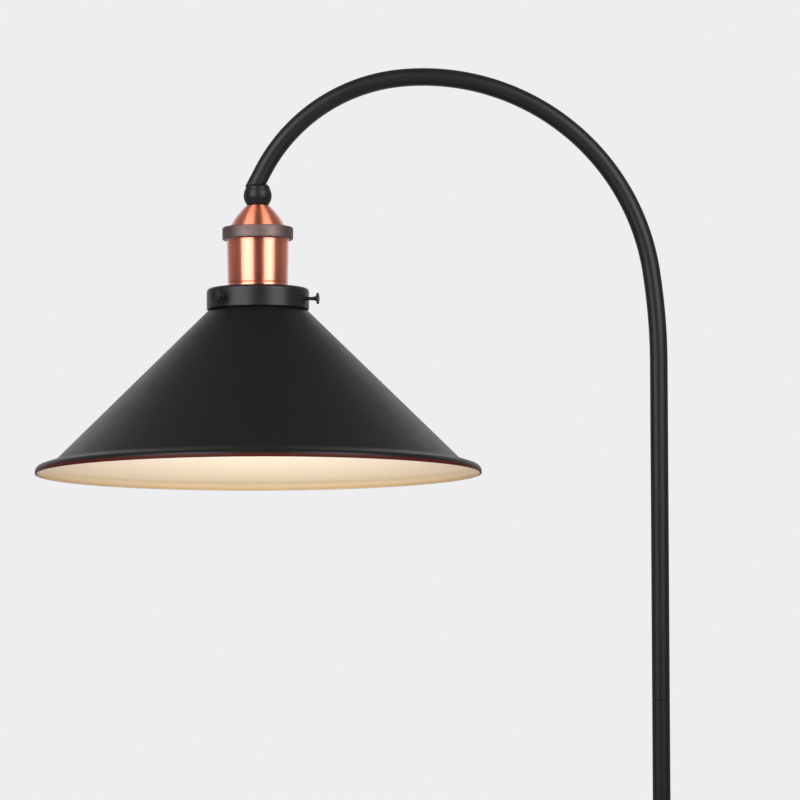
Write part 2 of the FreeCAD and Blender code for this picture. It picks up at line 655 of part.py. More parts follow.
def make_swivel_ball():
    """Hollow ball with a flat top for the arm and a round mouth for the stem."""
    roof_z = "ball_flat - ball_roof"
    return turned("swivel_ball", (
        ("ball_hole_radius", "ball_flat"),
        ("mouth_radius", "ball_flat", "ball_radius", -1),
        ("mouth_radius", "-ball_flat"),
        ("mouth_radius * cavity_radius / ball_radius", "-ball_flat * cavity_radius / ball_radius", "cavity_radius", 1),
        ("cavity_radius", "0"),
        ("cavity_radius", roof_z + " - cavity_chamfer"),
        ("cavity_radius - cavity_chamfer", roof_z),
        ("ball_hole_radius", roof_z),
    ), HEAD)


def make_friction_cup():
    """Cup that turns in the ball and carries the tilt pins."""
    low = ("sin(cup_mouth_angle)", "-cos(cup_mouth_angle)")
    body = turned("friction_cup", (
        ("cup_outer * %s" % low[0], "cup_outer * (%s)" % low[1], "cup_outer", 1),
        ("cup_outer", "0"),
        ("cup_outer", "cup_rise"),
        ("cup_inner", "cup_rise"),
        ("cup_inner", "0", "cup_inner", -1),
        ("cup_inner * %s" % low[0], "cup_inner * (%s)" % low[1]),
    ), HEAD)
    cut_out(body, draw_circle(new_sketch(body, "XZ_Plane", "pin_circle"), "pin_radius + swivel_fit / 2"), "pin_holes")
    return body


def make_swivel_stem():
    """Hollow stem: a round head in the cup, a neck, a shoulder and a threaded end."""
    body = turned("swivel_stem", (
        ("stem_bore_radius", "cup_rise"),
        ("sqrt(stem_head^2 - cup_rise^2)", "cup_rise", "stem_head", -1),
        ("stem_neck_radius", "-sqrt(stem_head^2 - stem_neck_radius^2)"),
        ("stem_neck_radius", "shoulder_z"),
        ("shoulder_radius", "shoulder_z"),
        ("shoulder_radius", "cap_floor_z"),
        ("stud_radius", "cap_floor_z"),
        ("stud_radius", "stem_end_z"),
        ("stem_bore_radius", "stem_end_z"),
    ), HEAD)
    cut_out(body, draw_circle(new_sketch(body, "XZ_Plane", "pin_circle"), "pin_radius"), "pin_holes")
    return body


def make_tilt_pins():
    """Two short pins in the stem's head, on the tilt axis."""
    pins = []
    for name, side in (("tilt_pin_front", "-"), ("tilt_pin_back", "")):
        pin = doc.addObject("Part::Cylinder", name)
        tie(pin, "Radius", "pin_radius")
        tie(pin, "Height", "cup_outer - swivel_fit - pin_inner")
        angle = 90 if side else -90
        pin.Placement = FreeCAD.Placement(FreeCAD.Vector(), FreeCAD.Rotation(FreeCAD.Vector(1, 0, 0), angle))
        for axis, text in zip("xyz", (HEAD[0], side + "pin_inner", HEAD[2])):
            tie(pin, "Placement.Base." + axis, text)
        pins.append(pin)
    return group("tilt_pins", pins)


def make_stem_fasteners():
    """Washer and nut that clamp the copper cap on the stem."""
    washer = sleeve("stem_washer", "stud_radius", "stem_washer_radius", "cap_under_z - stem_washer_thickness",
                    "stem_washer_thickness", HEAD)
    nut = hexagon_nut("stem_nut", "stem_nut_radius", "stud_radius",
                      "cap_under_z - stem_washer_thickness - stem_nut_height", "stem_nut_height", HEAD)
    return [washer, nut]


# Lampholder


def make_copper_cap():
    """Drawn copper cap: dished top with a well, bulging side, flange under the ring."""
    inner_foot = "cap_foot_radius - cap_wall"
    inner_top = "cap_rim_z - 2 * cap_wall"
    return turned("copper_cap", (
        ("stud_radius", "cap_floor_z"),
        ("cap_well_radius", "cap_floor_z"),
        ("cap_well_radius", "-sqrt(dish_radius^2 - cap_well_radius^2)", "dish_radius", 1),
        ("cap_mouth_radius", "cap_rim_z"),
        ("cap_mouth_radius + cap_rim", "cap_rim_z", "cap_side_radius", -1),
        ("cap_foot_radius", "ring_top_z"),
        ("cap_foot_radius", "flange_top_z"),
        ("cap_flange_radius", "flange_top_z"),
        ("cap_flange_radius", "flange_bottom_z"),
        (inner_foot, "flange_bottom_z"),
        (inner_foot, "ring_top_z", "cap_side_radius - cap_wall", 1),
        ("cap_mouth_radius", inner_top),
        ("cap_well_radius + cap_wall", inner_top),
        ("cap_well_radius + cap_wall", "cap_under_z"),
        ("stud_radius", "cap_under_z"),
    ), HEAD)


def make_clamp_ring():
    """Dark ring with rounded edges that screws the cap down on the shell."""
    lip_radius = "cap_foot_radius + part_gap"
    return turned("clamp_ring", (
        (lip_radius, "ring_top_z"),
        ("ring_radius - ring_corner", "ring_top_z", "ring_corner", -1),
        ("ring_radius", "ring_top_z - ring_corner"),
        ("ring_radius", "ring_bottom_z + ring_corner", "ring_corner", -1),
        ("ring_radius - ring_corner", "ring_bottom_z"),
        ("shell_collar_radius", "ring_bottom_z"),
        ("shell_collar_radius", "ring_top_z - ring_lip"),
        (lip_radius, "ring_top_z - ring_lip"),
    ), HEAD)


def make_copper_shell():
    """Slightly tapered copper shell with a threaded collar, a rolled bead and a ledge."""
    return turned("copper_shell", (
        ("shell_collar_radius - shell_wall", "flange_bottom_z"),
        ("shell_collar_radius", "flange_bottom_z"),
        ("shell_collar_radius", "ring_bottom_z + shell_step"),
        ("shell_top_radius", "ring_bottom_z"),
        ("shell_foot_radius", "bead_z", "shell_bead_radius", -1),
        ("shell_foot_radius", "shell_end_z"),
        ("skirt_radius + part_gap", "shell_end_z"),
        ("skirt_radius + part_gap", "ledge_z"),
        ("shell_foot_radius - shell_wall", "ledge_z"),
        ("shell_top_radius - shell_wall", "ring_bottom_z"),
        ("shell_collar_radius - shell_wall", "ring_bottom_z + shell_step"),
    ), HEAD)


def make_insulating_liner():
    """Fibre tube that holds the socket body down on the shell's ledge."""
    return sleeve("insulating_liner", "body_radius - liner_wall", "body_radius", "body_top_z",
                  "flange_bottom_z - body_top_z", HEAD)


def make_socket_body():
    """Moulded socket body: closed top with two screw holes, open threaded skirt."""
    shell_seat = "screw_shell_radius + part_gap"
    body = turned("socket_body", (
        ("0", "ceiling_z"),
        ("contact_well_radius", "ceiling_z"),
        ("contact_well_radius", "step_z"),
        (shell_seat, "step_z"),
        (shell_seat, "skirt_end_z"),
        ("skirt_radius", "skirt_end_z"),
        ("skirt_radius", "ledge_z"),
        ("body_radius", "ledge_z"),
        ("body_radius", "body_top_z"),
        ("0", "body_top_z"),
    ), HEAD)
    holes = new_sketch(body, "XY_Plane", "screw_circles", "body_top_z")
    for side in ("", "-"):
        draw_circle(holes, "terminal_shank_radius", (side + "terminal_offset", "terminal_screw_offset"))
    cut_out(body, holes, "screw_holes", "terminal_shank_length")
    return body


def make_screw_shell():
    """Metal shell that takes the bulb's cap, with an in-turned top on the body's step."""
    return turned("screw_shell", (
        ("screw_shell_bore", "screw_shell_end_z"),
        ("screw_shell_radius", "screw_shell_end_z"),
        ("screw_shell_radius", "step_z"),
        ("screw_shell_bore - screw_shell_lip", "step_z"),
        ("screw_shell_bore - screw_shell_lip", "step_z - screw_shell_wall"),
        ("screw_shell_bore", "step_z - screw_shell_wall"),
    ), HEAD)


def make_centre_contact():
    """Springy strip, bent down from the roof of the contact well."""
    body = new_body("centre_contact", HEAD)
    strip = draw(new_sketch(body, "XZ_Plane", "strip_section"), (
        ("-contact_half_length", "ceiling_z - contact_thickness"),
        ("-contact_bend - contact_thickness / 2", "ceiling_z - contact_thickness"),
        ("contact_bend - contact_thickness / 2", "ceiling_z - contact_drop"),
        ("contact_half_length", "ceiling_z - contact_drop"),
        ("contact_half_length", "ceiling_z - contact_drop + contact_thickness"),
        ("contact_bend", "ceiling_z - contact_drop + contact_thickness"),
        ("-contact_bend", "ceiling_z"),
        ("-contact_half_length", "ceiling_z"),
    ))
    pad = body.newObject("PartDesign::Pad", "centre_contact_strip")
    pad.Profile = strip
    pad.Midplane = True
    tie(pad, "Length", "contact_width")
    return body


def make_terminals():
    """Two brass tabs on the socket body, each with its screw."""
    tabs, screws = [], []
    for name, side in (("line", 1), ("neutral", -1)):
        sign = "" if side > 0 else "-"
        tab = doc.addObject("Part::Box", name + "_tab_plate")
        tie(tab, "Length", "terminal_width")
        tie(tab, "Width", "terminal_length")
        tie(tab, "Height", "terminal_thickness")
        put(tab, (
            "-reach + %sterminal_offset - terminal_width / 2" % sign,
            "-terminal_back",
            "ball_z + body_top_z",
        ))
        spot = ("-reach + %sterminal_offset" % sign, "terminal_screw_offset", "ball_z")
        hole = cylinder(name + "_tab_hole", "terminal_shank_radius", "body_top_z", "terminal_thickness", spot)
        tabs.append(combined("Part::Cut", name + "_tab", tab, hole))
        shank = cylinder(name + "_screw_shank", "terminal_shank_radius", "body_top_z - terminal_shank_length",
                         "terminal_shank_length + terminal_thickness", spot)
        head = cylinder(name + "_screw_head", "terminal_head_radius", "tab_top_z", "terminal_head_height", spot)
        screws.append(combined("Part::Fuse", name + "_screw", shank, head))
    return [group("terminal_tabs", tabs), group("terminal_screws", screws)]


def make_wire(label, side):
    """One core from the stem's top down to its terminal, with two easy bends."""
    sign = "" if side > 0 else "-"
    low_turn_x = "%s(terminal_offset - wire_shift)" % sign
    path = (
        (sign + "wire_offset", "cup_rise"),
        (sign + "wire_offset", "wire_high_z", "wire_bend", side),
        ("%s(wire_offset + wire_shift)" % sign, "wire_high_z - wire_dip"),
        (low_turn_x, "wire_low_z + wire_dip", "wire_bend", -side),
        (sign + "terminal_offset", "wire_low_z"),
        (sign + "terminal_offset", "tab_top_z"),
    )
    return swept(label, path, ("wire_radius",), HEAD, "XY_Plane", (sign + "wire_offset", "0"), "cup_rise")


# Shade and its holder


def make_shade_holder():
    """Drawn steel holder clamped under the shell, tapped three times for the thumbscrews."""
    inner_corner = "holder_corner - holder_wall"
    hole = "skirt_radius + holder_hole_gap"
    body = turned("shade_holder", (
        (hole, "shell_end_z"),
        ("holder_radius - holder_corner", "shell_end_z", "holder_corner", -1),
        ("holder_radius", "shell_end_z - holder_corner"),
        ("holder_radius", "holder_bottom_z"),
        ("holder_inner", "holder_bottom_z"),
        ("holder_inner", "shell_end_z - holder_corner", inner_corner, 1),
        ("holder_radius - holder_corner", "holder_under_z"),
        (hole, "holder_under_z"),
    ), HEAD, "screw_angle")
    circle = draw_circle(new_sketch(body, "YZ_Plane", "screw_circle"), "screw_radius + part_gap / 2", ("0", "screw_z"))
    repeat_round(body, cut_out(body, circle, "screw_hole", "holder_radius + holder_wall", reverse=True), 3)
    return body


def make_holder_ring():
    """Ring nut that clamps the shade holder up against the shell, notched for grip."""
    body = turned("holder_ring", (
        ("skirt_radius", "holder_under_z"),
        ("retainer_radius", "holder_under_z"),
        ("retainer_radius", "holder_under_z - retainer_height"),
        ("skirt_radius", "holder_under_z - retainer_height"),
    ), HEAD)
    circle = draw_circle(new_sketch(body, "XY_Plane", "notch_circle"), "retainer_notch", ("retainer_radius", "0"))
    repeat_round(body, cut_out(body, circle, "notch"), 12)
    return body


def make_thumbscrew(label, turn):
    """Thumbscrew that points at the shade's neck: thread, flared head, domed face."""
    return turned(label, (
        ("screw_start_x", "0"),
        ("screw_start_x", "screw_radius - screw_tip"),
        ("screw_start_x + screw_tip", "screw_radius"),
        ("shank_end_x", "screw_radius", "screw_flare_radius", 1),
        ("flare_end_x", "screw_head_radius"),
        ("disc_end_x", "screw_head_radius", "dome_radius", -1),
        ("disc_end_x + screw_dome", "0"),
    ), (HEAD[0], HEAD[1], "ball_z + screw_z"), turn, axis="H_Axis")


def make_lamp_shade():
    """Spun steel shade: neck with an in-turned lip, cone, flared rim with a folded hem."""
    lip_end_x = "shade_radius - lip_corner * (1 - sin(lip_slope))"
    lip_end_z = "cone_end_z - lip_fall"
    inner_edge = "shade_radius - shade_wall"
    hem_edge = "shade_radius - shade_wall - hem_wall"
    return turned("lamp_shade", (
        ("neck_radius - neck_lip", "neck_top_z"),
        ("neck_radius - neck_corner", "neck_top_z", "neck_corner", -1),
        ("neck_radius", "neck_top_z - neck_corner"),
        ("neck_radius", "cone_top_z + shoulder_height", "shoulder_curve", 1),
        ("cone_top_radius", "cone_top_z"),
        ("cone_radius", "cone_end_z"),
        (lip_end_x, lip_end_z, "lip_corner", -1),
        ("shade_radius", "edge_z"),
        ("shade_radius", "rim_z"),
        (hem_edge, "rim_z"),
        (hem_edge, "rim_z + hem_height"),
        (inner_edge, "rim_z + hem_height"),
        (inner_edge, "edge_z", "lip_corner - shade_wall", 1),
        (lip_end_x + " - shade_wall * sin(lip_slope)", lip_end_z + " - shade_wall * cos(lip_slope)"),
        ("cone_radius - corner_shift", "cone_end_z - cone_sink + cone_rate * corner_shift"),
        ("neck_radius", "cone_top_z - cone_sink + cone_rate * shoulder_run"),
        ("neck_radius - shade_wall", "cone_top_z + shoulder_height"),
        ("neck_radius - shade_wall", "neck_top_z - neck_corner", "neck_corner - shade_wall", 1),
        ("neck_radius - neck_corner", "neck_top_z - shade_wall"),
        ("neck_radius - neck_lip", "neck_top_z - shade_wall"),
    ), HEAD)


def make_pieces():
    pieces = [make_felt_pad(), make_base_weight(), make_base_cover(), make_cord_bushing()]
    pieces += make_base_fasteners()
    pieces += [
        make_pole_foot(),
        make_pole_section("pole_lower", "base_top", "joint_low"),
        make_pole_section("pole_middle", "joint_low", "joint_mid"),
        make_pole_section("pole_upper", "joint_mid", "joint_arm"),
    ]
    pieces += make_joint_fittings()
    pieces += [make_arched_arm(), make_supply_flex()]
    pieces += [make_swivel_ball(), make_friction_cup(), make_swivel_stem(), make_tilt_pins()]
    pieces += make_stem_fasteners()
    pieces += [make_copper_cap(), make_clamp_ring(), make_copper_shell(), make_insulating_liner()]
    pieces += [make_socket_body(), make_screw_shell(), make_centre_contact()]
    pieces += make_terminals()
    pieces += [make_wire("line_wire", 1), make_wire("neutral_wire", -1)]
    pieces += [make_shade_holder(), make_holder_ring()]
    for index, side in enumerate(("right", "rear", "left")):
        pieces.append(make_thumbscrew("thumbscrew_" + side, "screw_angle + %d * 360 / 3" % index))
    pieces.append(make_lamp_shade())
    return pieces


def check(pieces):
    """Stop if any object failed or any piece has no sound solid."""
    faults = [item.Name for item in doc.Objects if "Invalid" in item.State or "Error" in item.State]
    for piece in pieces:
        if piece.Shape.isNull() or not piece.Shape.isValid() or not piece.Shape.Solids:
            faults.append(piece.Label)
    if faults:
        raise RuntimeError("faulty: " + ", ".join(faults))


def write(pieces):
    os.makedirs("parts", exist_ok=True)
    for piece in pieces:
        piece.Shape.exportStep("parts/%s.step" % piece.Label)


def print_places():
    """Lengths that the record repeats."""
    for name in ("base_top", "joint_arm", "reach", "ball_z", "stem_head", "holder_bottom_z", "screw_z", "rim_z"):
        print(name, round(value(name), 3))


fill_sheet()
lamp = make_pieces()
doc.recompute()
check(lamp)
write(lamp)
print_places()
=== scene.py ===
import math
import bmesh
import bpy
from mathutils import Matrix, Vector


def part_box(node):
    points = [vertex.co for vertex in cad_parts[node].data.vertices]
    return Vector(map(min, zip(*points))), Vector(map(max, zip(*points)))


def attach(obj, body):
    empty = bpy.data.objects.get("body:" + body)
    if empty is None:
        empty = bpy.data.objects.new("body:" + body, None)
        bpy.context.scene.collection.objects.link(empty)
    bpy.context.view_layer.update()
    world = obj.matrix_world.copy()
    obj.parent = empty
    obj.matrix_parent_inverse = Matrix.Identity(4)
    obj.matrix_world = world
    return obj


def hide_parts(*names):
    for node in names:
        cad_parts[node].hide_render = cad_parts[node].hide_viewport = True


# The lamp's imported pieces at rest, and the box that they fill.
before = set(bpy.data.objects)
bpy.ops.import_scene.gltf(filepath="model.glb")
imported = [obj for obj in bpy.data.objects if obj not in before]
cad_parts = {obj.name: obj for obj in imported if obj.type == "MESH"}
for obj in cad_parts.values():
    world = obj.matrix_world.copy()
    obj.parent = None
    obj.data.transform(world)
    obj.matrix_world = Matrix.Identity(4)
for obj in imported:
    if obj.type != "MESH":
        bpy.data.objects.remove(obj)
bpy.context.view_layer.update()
MM = 0.001


# Studio: a plain pale floor that fades into a pale backdrop, two upright
# softboxes in front of the lamp, a low fill that gloss doesn't show, and grey
# walls that only gloss can see.
BACKDROP_COLOUR = "EEEEF0"
FLOOR_COLOUR = "DADADC"
FLOOR_REACH = 30
FLOOR_FADE_START = 2.0
FLOOR_FADE_END = 12.0
WALL_FRONT_GREY = 0.05
WALL_BACK_GREY = 0.5
ROOM_MIDDLE = -0.27
ROOM_WIDTH = 5.2
ROOM_FRONT = -3.0
ROOM_BACK = 3.6
ROOM_HEIGHT = 4.2
SOFTBOX_RADIANCE = 5.2
SOFTBOX_DISTANCE = 1.3
SOFTBOX_LOW = 1.34
SOFTBOX_HIGH = 2.75
LEFT_SOFTBOX = (-61, -17)
RIGHT_SOFTBOX = (26, 63)
FILL_RADIANCE = 1.4
FILL_WIDTH = 2.4
FILL_HEIGHT = 0.8
FILL_SPREAD = math.radians(70)
FILL_DISTANCE = 2.6
FILL_LEVEL = 0.7
FILL_SLOPE = 0.56


def linear(code):
    """An sRGB hex colour as linear light."""
    parts = [int(code[place:place + 2], 16) / 255 for place in (0, 2, 4)]
    return [
        part / 12.92 if part <= 0.04045 else ((part + 0.055) / 1.055) ** 2.4 for part in parts
    ] + [1]


def add(tree, kind, settings={}, links={}):
    """Add a node with its settings, and link its inputs to other nodes' outputs."""
    node = tree.nodes.new("ShaderNode" + kind)
    for name, setting in settings.items():
        if isinstance(name, int) or name in node.inputs:
            node.inputs[name].default_value = setting
        else:
            setattr(node, name, setting)
    for name, output in links.items():
        tree.links.new(node.inputs[name], output)
    return node


bpy.context.scene.view_settings.view_transform = "Standard"
world = bpy.data.worlds.new("studio_backdrop")
world.use_nodes = True
world.node_tree.nodes.clear()
bpy.context.scene.world = world
sky = add(world.node_tree, "Background", {"Color": linear(BACKDROP_COLOUR), "Strength": 1.0})
add(world.node_tree, "OutputWorld", {}, {"Surface": sky.outputs[0]})


def stage_piece(name, mesh, material):
    """An object of the studio, which isn't part of the lamp."""
    data = bpy.data.meshes.new(name)
    mesh.to_mesh(data)
    mesh.free()
    data.materials.append(material)
    made = bpy.data.objects.new(name, data)
    bpy.context.scene.collection.objects.link(made)
    return made


floor_paint = bpy.data.materials.new("pale_floor")
floor_paint.use_nodes = True
floor_tree = floor_paint.node_tree
floor_tree.nodes.clear()
side = add(floor_tree, "NewGeometry")
matt = add(floor_tree, "BsdfDiffuse", {"Color": linear(FLOOR_COLOUR)})
clear = add(floor_tree, "BsdfTransparent")
floor_place = add(floor_tree, "TexCoord")
distance = add(floor_tree, "VectorMath", {"operation": "LENGTH"}, {0: floor_place.outputs["Object"]})
fade = add(floor_tree, "MapRange", {
    "interpolation_type": "SMOOTHSTEP", "From Min": FLOOR_FADE_START, "From Max": FLOOR_FADE_END,
}, {"Value": distance.outputs["Value"]})
hidden = add(floor_tree, "Math", {"operation": "MAXIMUM"}, {
    0: side.outputs["Backfacing"], 1: fade.outputs[0],
})
one_sided = add(floor_tree, "MixShader", {}, {
    0: hidden.outputs[0], 1: matt.outputs[0], 2: clear.outputs[0],
})
add(floor_tree, "OutputMaterial", {}, {"Surface": one_sided.outputs[0]})
floor_mesh = bmesh.new()
bmesh.ops.create_grid(floor_mesh, x_segments=1, y_segments=1, size=FLOOR_REACH)
stage_piece("floor", floor_mesh, floor_paint)

wall_paint = bpy.data.materials.new("grey_walls")
wall_paint.use_nodes = True
wall_paint.node_tree.nodes.clear()
wall_place = add(wall_paint.node_tree, "TexCoord")
wall_axes = add(wall_paint.node_tree, "SeparateXYZ", {}, {"Vector": wall_place.outputs["Object"]})
wall_grey = add(wall_paint.node_tree, "MapRange", {
    "From Min": ROOM_FRONT, "From Max": ROOM_BACK, "To Min": WALL_FRONT_GREY, "To Max": WALL_BACK_GREY,
}, {"Value": wall_axes.outputs["Y"]})
glow = add(wall_paint.node_tree, "Emission", {}, {"Strength": wall_grey.outputs[0]})
add(wall_paint.node_tree, "OutputMaterial", {}, {"Surface": glow.outputs[0]})
wall_mesh = bmesh.new()
bmesh.ops.create_cube(wall_mesh, size=1)
open_sides = [face for face in wall_mesh.faces if face.normal.y > 0.5 or face.normal.z < -0.5]
bmesh.ops.delete(wall_mesh, geom=open_sides, context="FACES")
room_size = (ROOM_WIDTH, ROOM_BACK - ROOM_FRONT, ROOM_HEIGHT)
room_centre = (ROOM_MIDDLE, (ROOM_FRONT + ROOM_BACK) / 2, ROOM_HEIGHT / 2)
bmesh.ops.scale(wall_mesh, vec=room_size, verts=wall_mesh.verts)
bmesh.ops.translate(wall_mesh, vec=room_centre, verts=wall_mesh.verts)
walls = stage_piece("grey_walls", wall_mesh, wall_paint)
walls.visible_camera = False
walls.visible_diffuse = False
walls.visible_shadow = False

ball_low, ball_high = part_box("swivel_ball")
BALL = (ball_low + ball_high) / 2


def light_panel(name, width, height, radiance, place, away):
    """A rectangular light at a place. Its back faces the way of 'away', and it isn't seen itself."""
    light = bpy.data.lights.new(name, "AREA")
    light.shape = "RECTANGLE"
    light.size = width
    light.size_y = height
    light.energy = 4 * width * height * radiance
    made = bpy.data.objects.new(name, light)
    made.location = place
    made.rotation_euler = away.to_track_quat("Z", "Y").to_euler()
    made.visible_camera = False
    bpy.context.scene.collection.objects.link(made)
    return made


# Each softbox spans two angles from the camera's side, seen from the lamp's head.
for name, (first_angle, last_angle) in (("left_softbox", LEFT_SOFTBOX), ("right_softbox", RIGHT_SOFTBOX)):
    angle = math.radians((first_angle + last_angle) / 2)
    away = Vector((math.sin(angle), -math.cos(angle), 0))
    width = 2 * SOFTBOX_DISTANCE * math.tan(math.radians(last_angle - first_angle) / 2)
    height = SOFTBOX_HIGH - SOFTBOX_LOW
    spot = Vector((BALL.x, 0, (SOFTBOX_LOW + SOFTBOX_HIGH) / 2)) + away * SOFTBOX_DISTANCE
    light_panel(name, width, height, SOFTBOX_RADIANCE, spot, away)

# The low fill lights the inside of the shade.
fill_spot = (BALL.x, -FILL_DISTANCE, FILL_LEVEL)
fill_away = Vector((0, -FILL_DISTANCE, -FILL_SLOPE))
low_fill = light_panel("low_fill", FILL_WIDTH, FILL_HEIGHT, FILL_RADIANCE, fill_spot, fill_away)
low_fill.data.spread = FILL_SPREAD
low_fill.visible_glossy = False

# Camera: a long lens from about the height of the pole's middle, looking up a
# little, as the photograph was taken.
CAMERA_PLACE = (-0.1742, -5.628, BALL.z - 0.6209)
CAMERA_TILT = math.radians(94.9)
CAMERA_ROLL = math.radians(-0.22)
camera_data = bpy.data.cameras.new("camera")
camera_data.lens = 378
camera_data.sensor_width = 36
camera_data.clip_end = 100
camera = bpy.data.objects.new("camera", camera_data)
tilted = Matrix.Rotation(CAMERA_TILT, 4, "X") @ Matrix.Rotation(CAMERA_ROLL, 4, "Z")
camera.matrix_world = Matrix.Translation(CAMERA_PLACE) @ tilted
bpy.context.scene.collection.objects.link(camera)
bpy.context.scene.camera = camera


# Felt pad: a disc of pressed wool felt glued under the base. Its cut edge is
# soft and a little rounded, and its face is matt and fibrous.
FELT_EDGE = 0.6
TURN_STEPS = 128
ARC_STEP = math.radians(7)
SHARP = math.radians(28)
MERGE_REACH = 0.002
NOISE_LOW = 0.3
NOISE_HIGH = 0.7


def trace(mesh, points, centre, closed=True):
    """A wire through points in millimetres from a centre. An arc follows a point (x, z, radius, side)."""
    last = mesh.verts.new(centre + Vector((points[0][0], 0, points[0][1])) * MM)
    wire = [last]
    targets = list(points[1:]) + ([points[0]] if closed else [])
    for here, there in zip(points, targets):
        end = centre + Vector((there[0], 0, there[1])) * MM
        steps, middle, turn, side = 1, end, 0, 1
        if len(here) == 4:
            radius, side = here[2] * MM, here[3]
            half = (end - last.co) / 2
            rise = math.sqrt(max(radius ** 2 - half.length_squared, 0))
            middle = last.co + half + Vector((-half.z, 0, half.x)).normalized() * rise * side
            turn = 2 * math.asin(min(half.length / radius, 1))
            steps = max(2, math.ceil(turn / ARC_STEP))
        made = bmesh.ops.spin(mesh, geom=[last], cent=middle, axis=(0, -side, 0), angle=turn,
                              steps=steps)
        last = [item for item in made["geom_last"] if isinstance(item, bmesh.types.BMVert)][0]
        last.co = end
        wire.append(last)
    return wire


def turned(mesh, points, centre, axis=(0, 0, 1), closed=True, steps=TURN_STEPS, paint=0):
    """Spin an outline round an axis through the centre, and give the new faces a paint."""
    old_verts, old_edges, old_faces = set(mesh.verts), set(mesh.edges), set(mesh.faces)
    trace(mesh, points, centre, closed)
    wire = [item for item in mesh.verts if item not in old_verts]
    wire += [item for item in mesh.edges if item not in old_edges]
    bmesh.ops.spin(mesh, geom=wire, cent=centre, axis=axis, angle=math.tau, steps=steps, use_merge=True)
    for face in mesh.faces:
        if face not in old_faces:
            face.material_index = paint


def finished(name, mesh, paints, body, nodes, edge=0.0):
    """Close the mesh, soften its sharp edges and put it on its body in place of its CAD nodes."""
    bmesh.ops.remove_doubles(mesh, verts=mesh.verts, dist=MERGE_REACH * MM)
    bmesh.ops.recalc_face_normals(mesh, faces=mesh.faces)
    if edge:
        sharp = [item for item in mesh.edges if item.calc_face_angle(0) > SHARP]
        bmesh.ops.bevel(mesh, geom=sharp, offset=edge * MM, segments=2, profile=0.5,
                        affect="EDGES", material=-1, clamp_overlap=True)
    for face in mesh.faces:
        face.smooth = True
    for item in mesh.edges:
        item.smooth = item.calc_face_angle(0) < SHARP
    data = bpy.data.meshes.new(name)
    mesh.to_mesh(data)
    mesh.free()
    for paint in paints:
        data.materials.append(paint)
    made = bpy.data.objects.new(name, data)
    bpy.context.scene.collection.objects.link(made)
    # Weighted normals shade a long wall evenly beside its small broken edges.
    made.modifiers.new("even_shading", "WEIGHTED_NORMAL").keep_sharp = True
    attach(made, body)
    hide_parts(*nodes)
    return made


def surface(name, code, roughness, metallic=0.0, extra={}):
    """A material with one principled shader, its object coordinates and its plain settings."""
    made = bpy.data.materials.new(name)
    made.use_nodes = True
    shader = made.node_tree.nodes["Principled BSDF"]
    settings = {"Base Color": linear(code), "Roughness": roughness, "Metallic": metallic, **extra}
    for key, setting in settings.items():
        shader.inputs[key].default_value = setting
    place = add(made.node_tree, "TexCoord").outputs["Object"]
    return made, made.node_tree, shader, place


def mottled(tree, shader, place, size, dark, light, detail=3.0):
    """Vary the colour between two hex colours in patches of a real size in millimetres."""
    noise = add(tree, "TexNoise", {"Scale": 1 / (size * MM), "Detail": detail}, {"Vector": place})
    ramp = add(tree, "ValToRGB", {}, {"Fac": noise.outputs["Fac"]})
    ramp.color_ramp.elements[0].position = NOISE_LOW
    ramp.color_ramp.elements[0].color = linear(dark)
    ramp.color_ramp.elements[1].position = NOISE_HIGH
    ramp.color_ramp.elements[1].color = linear(light)
    tree.links.new(shader.inputs["Base Color"], ramp.outputs["Color"])


def worn_gloss(tree, shader, place, size, low, high):
    """Vary the roughness between two values in patches of a real size in millimetres."""
    noise = add(tree, "TexNoise", {"Scale": 1 / (size * MM), "Detail": 4.0}, {"Vector": place})
    spread = add(tree, "MapRange", {
        "From Min": NOISE_LOW, "From Max": NOISE_HIGH, "To Min": low, "To Max": high,
    }, {"Value": noise.outputs["Fac"]})
    tree.links.new(shader.inputs["Roughness"], spread.outputs[0])


def grained(tree, shader, place, size, depth, strength=1.0, detail=2.0):
    """A fine relief with grains of a real size and depth in millimetres."""
    noise = add(tree, "TexNoise", {"Scale": 1 / (size * MM), "Detail": detail}, {"Vector": place})
    relief = add(tree, "Bump", {"Strength": strength, "Distance": depth * MM},
                 {"Height": noise.outputs["Fac"]})
    tree.links.new(shader.inputs["Normal"], relief.outputs[0])


# Pressed felt is matt with a faint bloom, and its fibres show as soft mottling.
felt, tree, shader, place = surface("pressed_felt", "1F1F21", 0.95, extra={"Sheen Weight": 0.4})
mottled(tree, shader, place, 3.0, "19191B", "29292C")
grained(tree, shader, place, 0.8, 0.3)

FLOOR = Vector((0, 0, 0))
felt_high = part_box("felt_pad")[1]
felt_radius = felt_high.x / MM
felt_top = felt_high.z / MM
mesh = bmesh.new()
turned(mesh, (
    (0, 0),
    (felt_radius - FELT_EDGE, 0, FELT_EDGE, 1),
    (felt_radius, FELT_EDGE),
    (felt_radius, felt_top),
    (0, felt_top),
), FLOOR)
finished("felt_disc", mesh, [felt], "stand", ["felt_pad"])


# Base weight: a grey iron casting, primed black, inside the cover. Its skin is
# rough from the sand mould.
def dress(material, *nodes):
    """Give CAD pieces a finish."""
    for name in nodes:
        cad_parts[name].data.materials.clear()
        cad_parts[name].data.materials.append(material)


iron, tree, shader, place = surface("primed_sand_casting", "2A2927", 0.75)
mottled(tree, shader, place, 9.0, "232220", "35332F")
grained(tree, shader, place, 1.2, 0.25)
dress(iron, "base_weight")


# Base cover: a shell spun from 1.2 mm steel sheet over the weight, with a
# rounded edge, a low crown and a hole in the middle. Its satin black powder coat
# is a thick even film with a very fine orange-peel grain.
COAT_PATCH = 14.0
COAT_GRAIN = 0.7
COAT_DEPTH = 0.015
COAT_RELIEF = 0.35


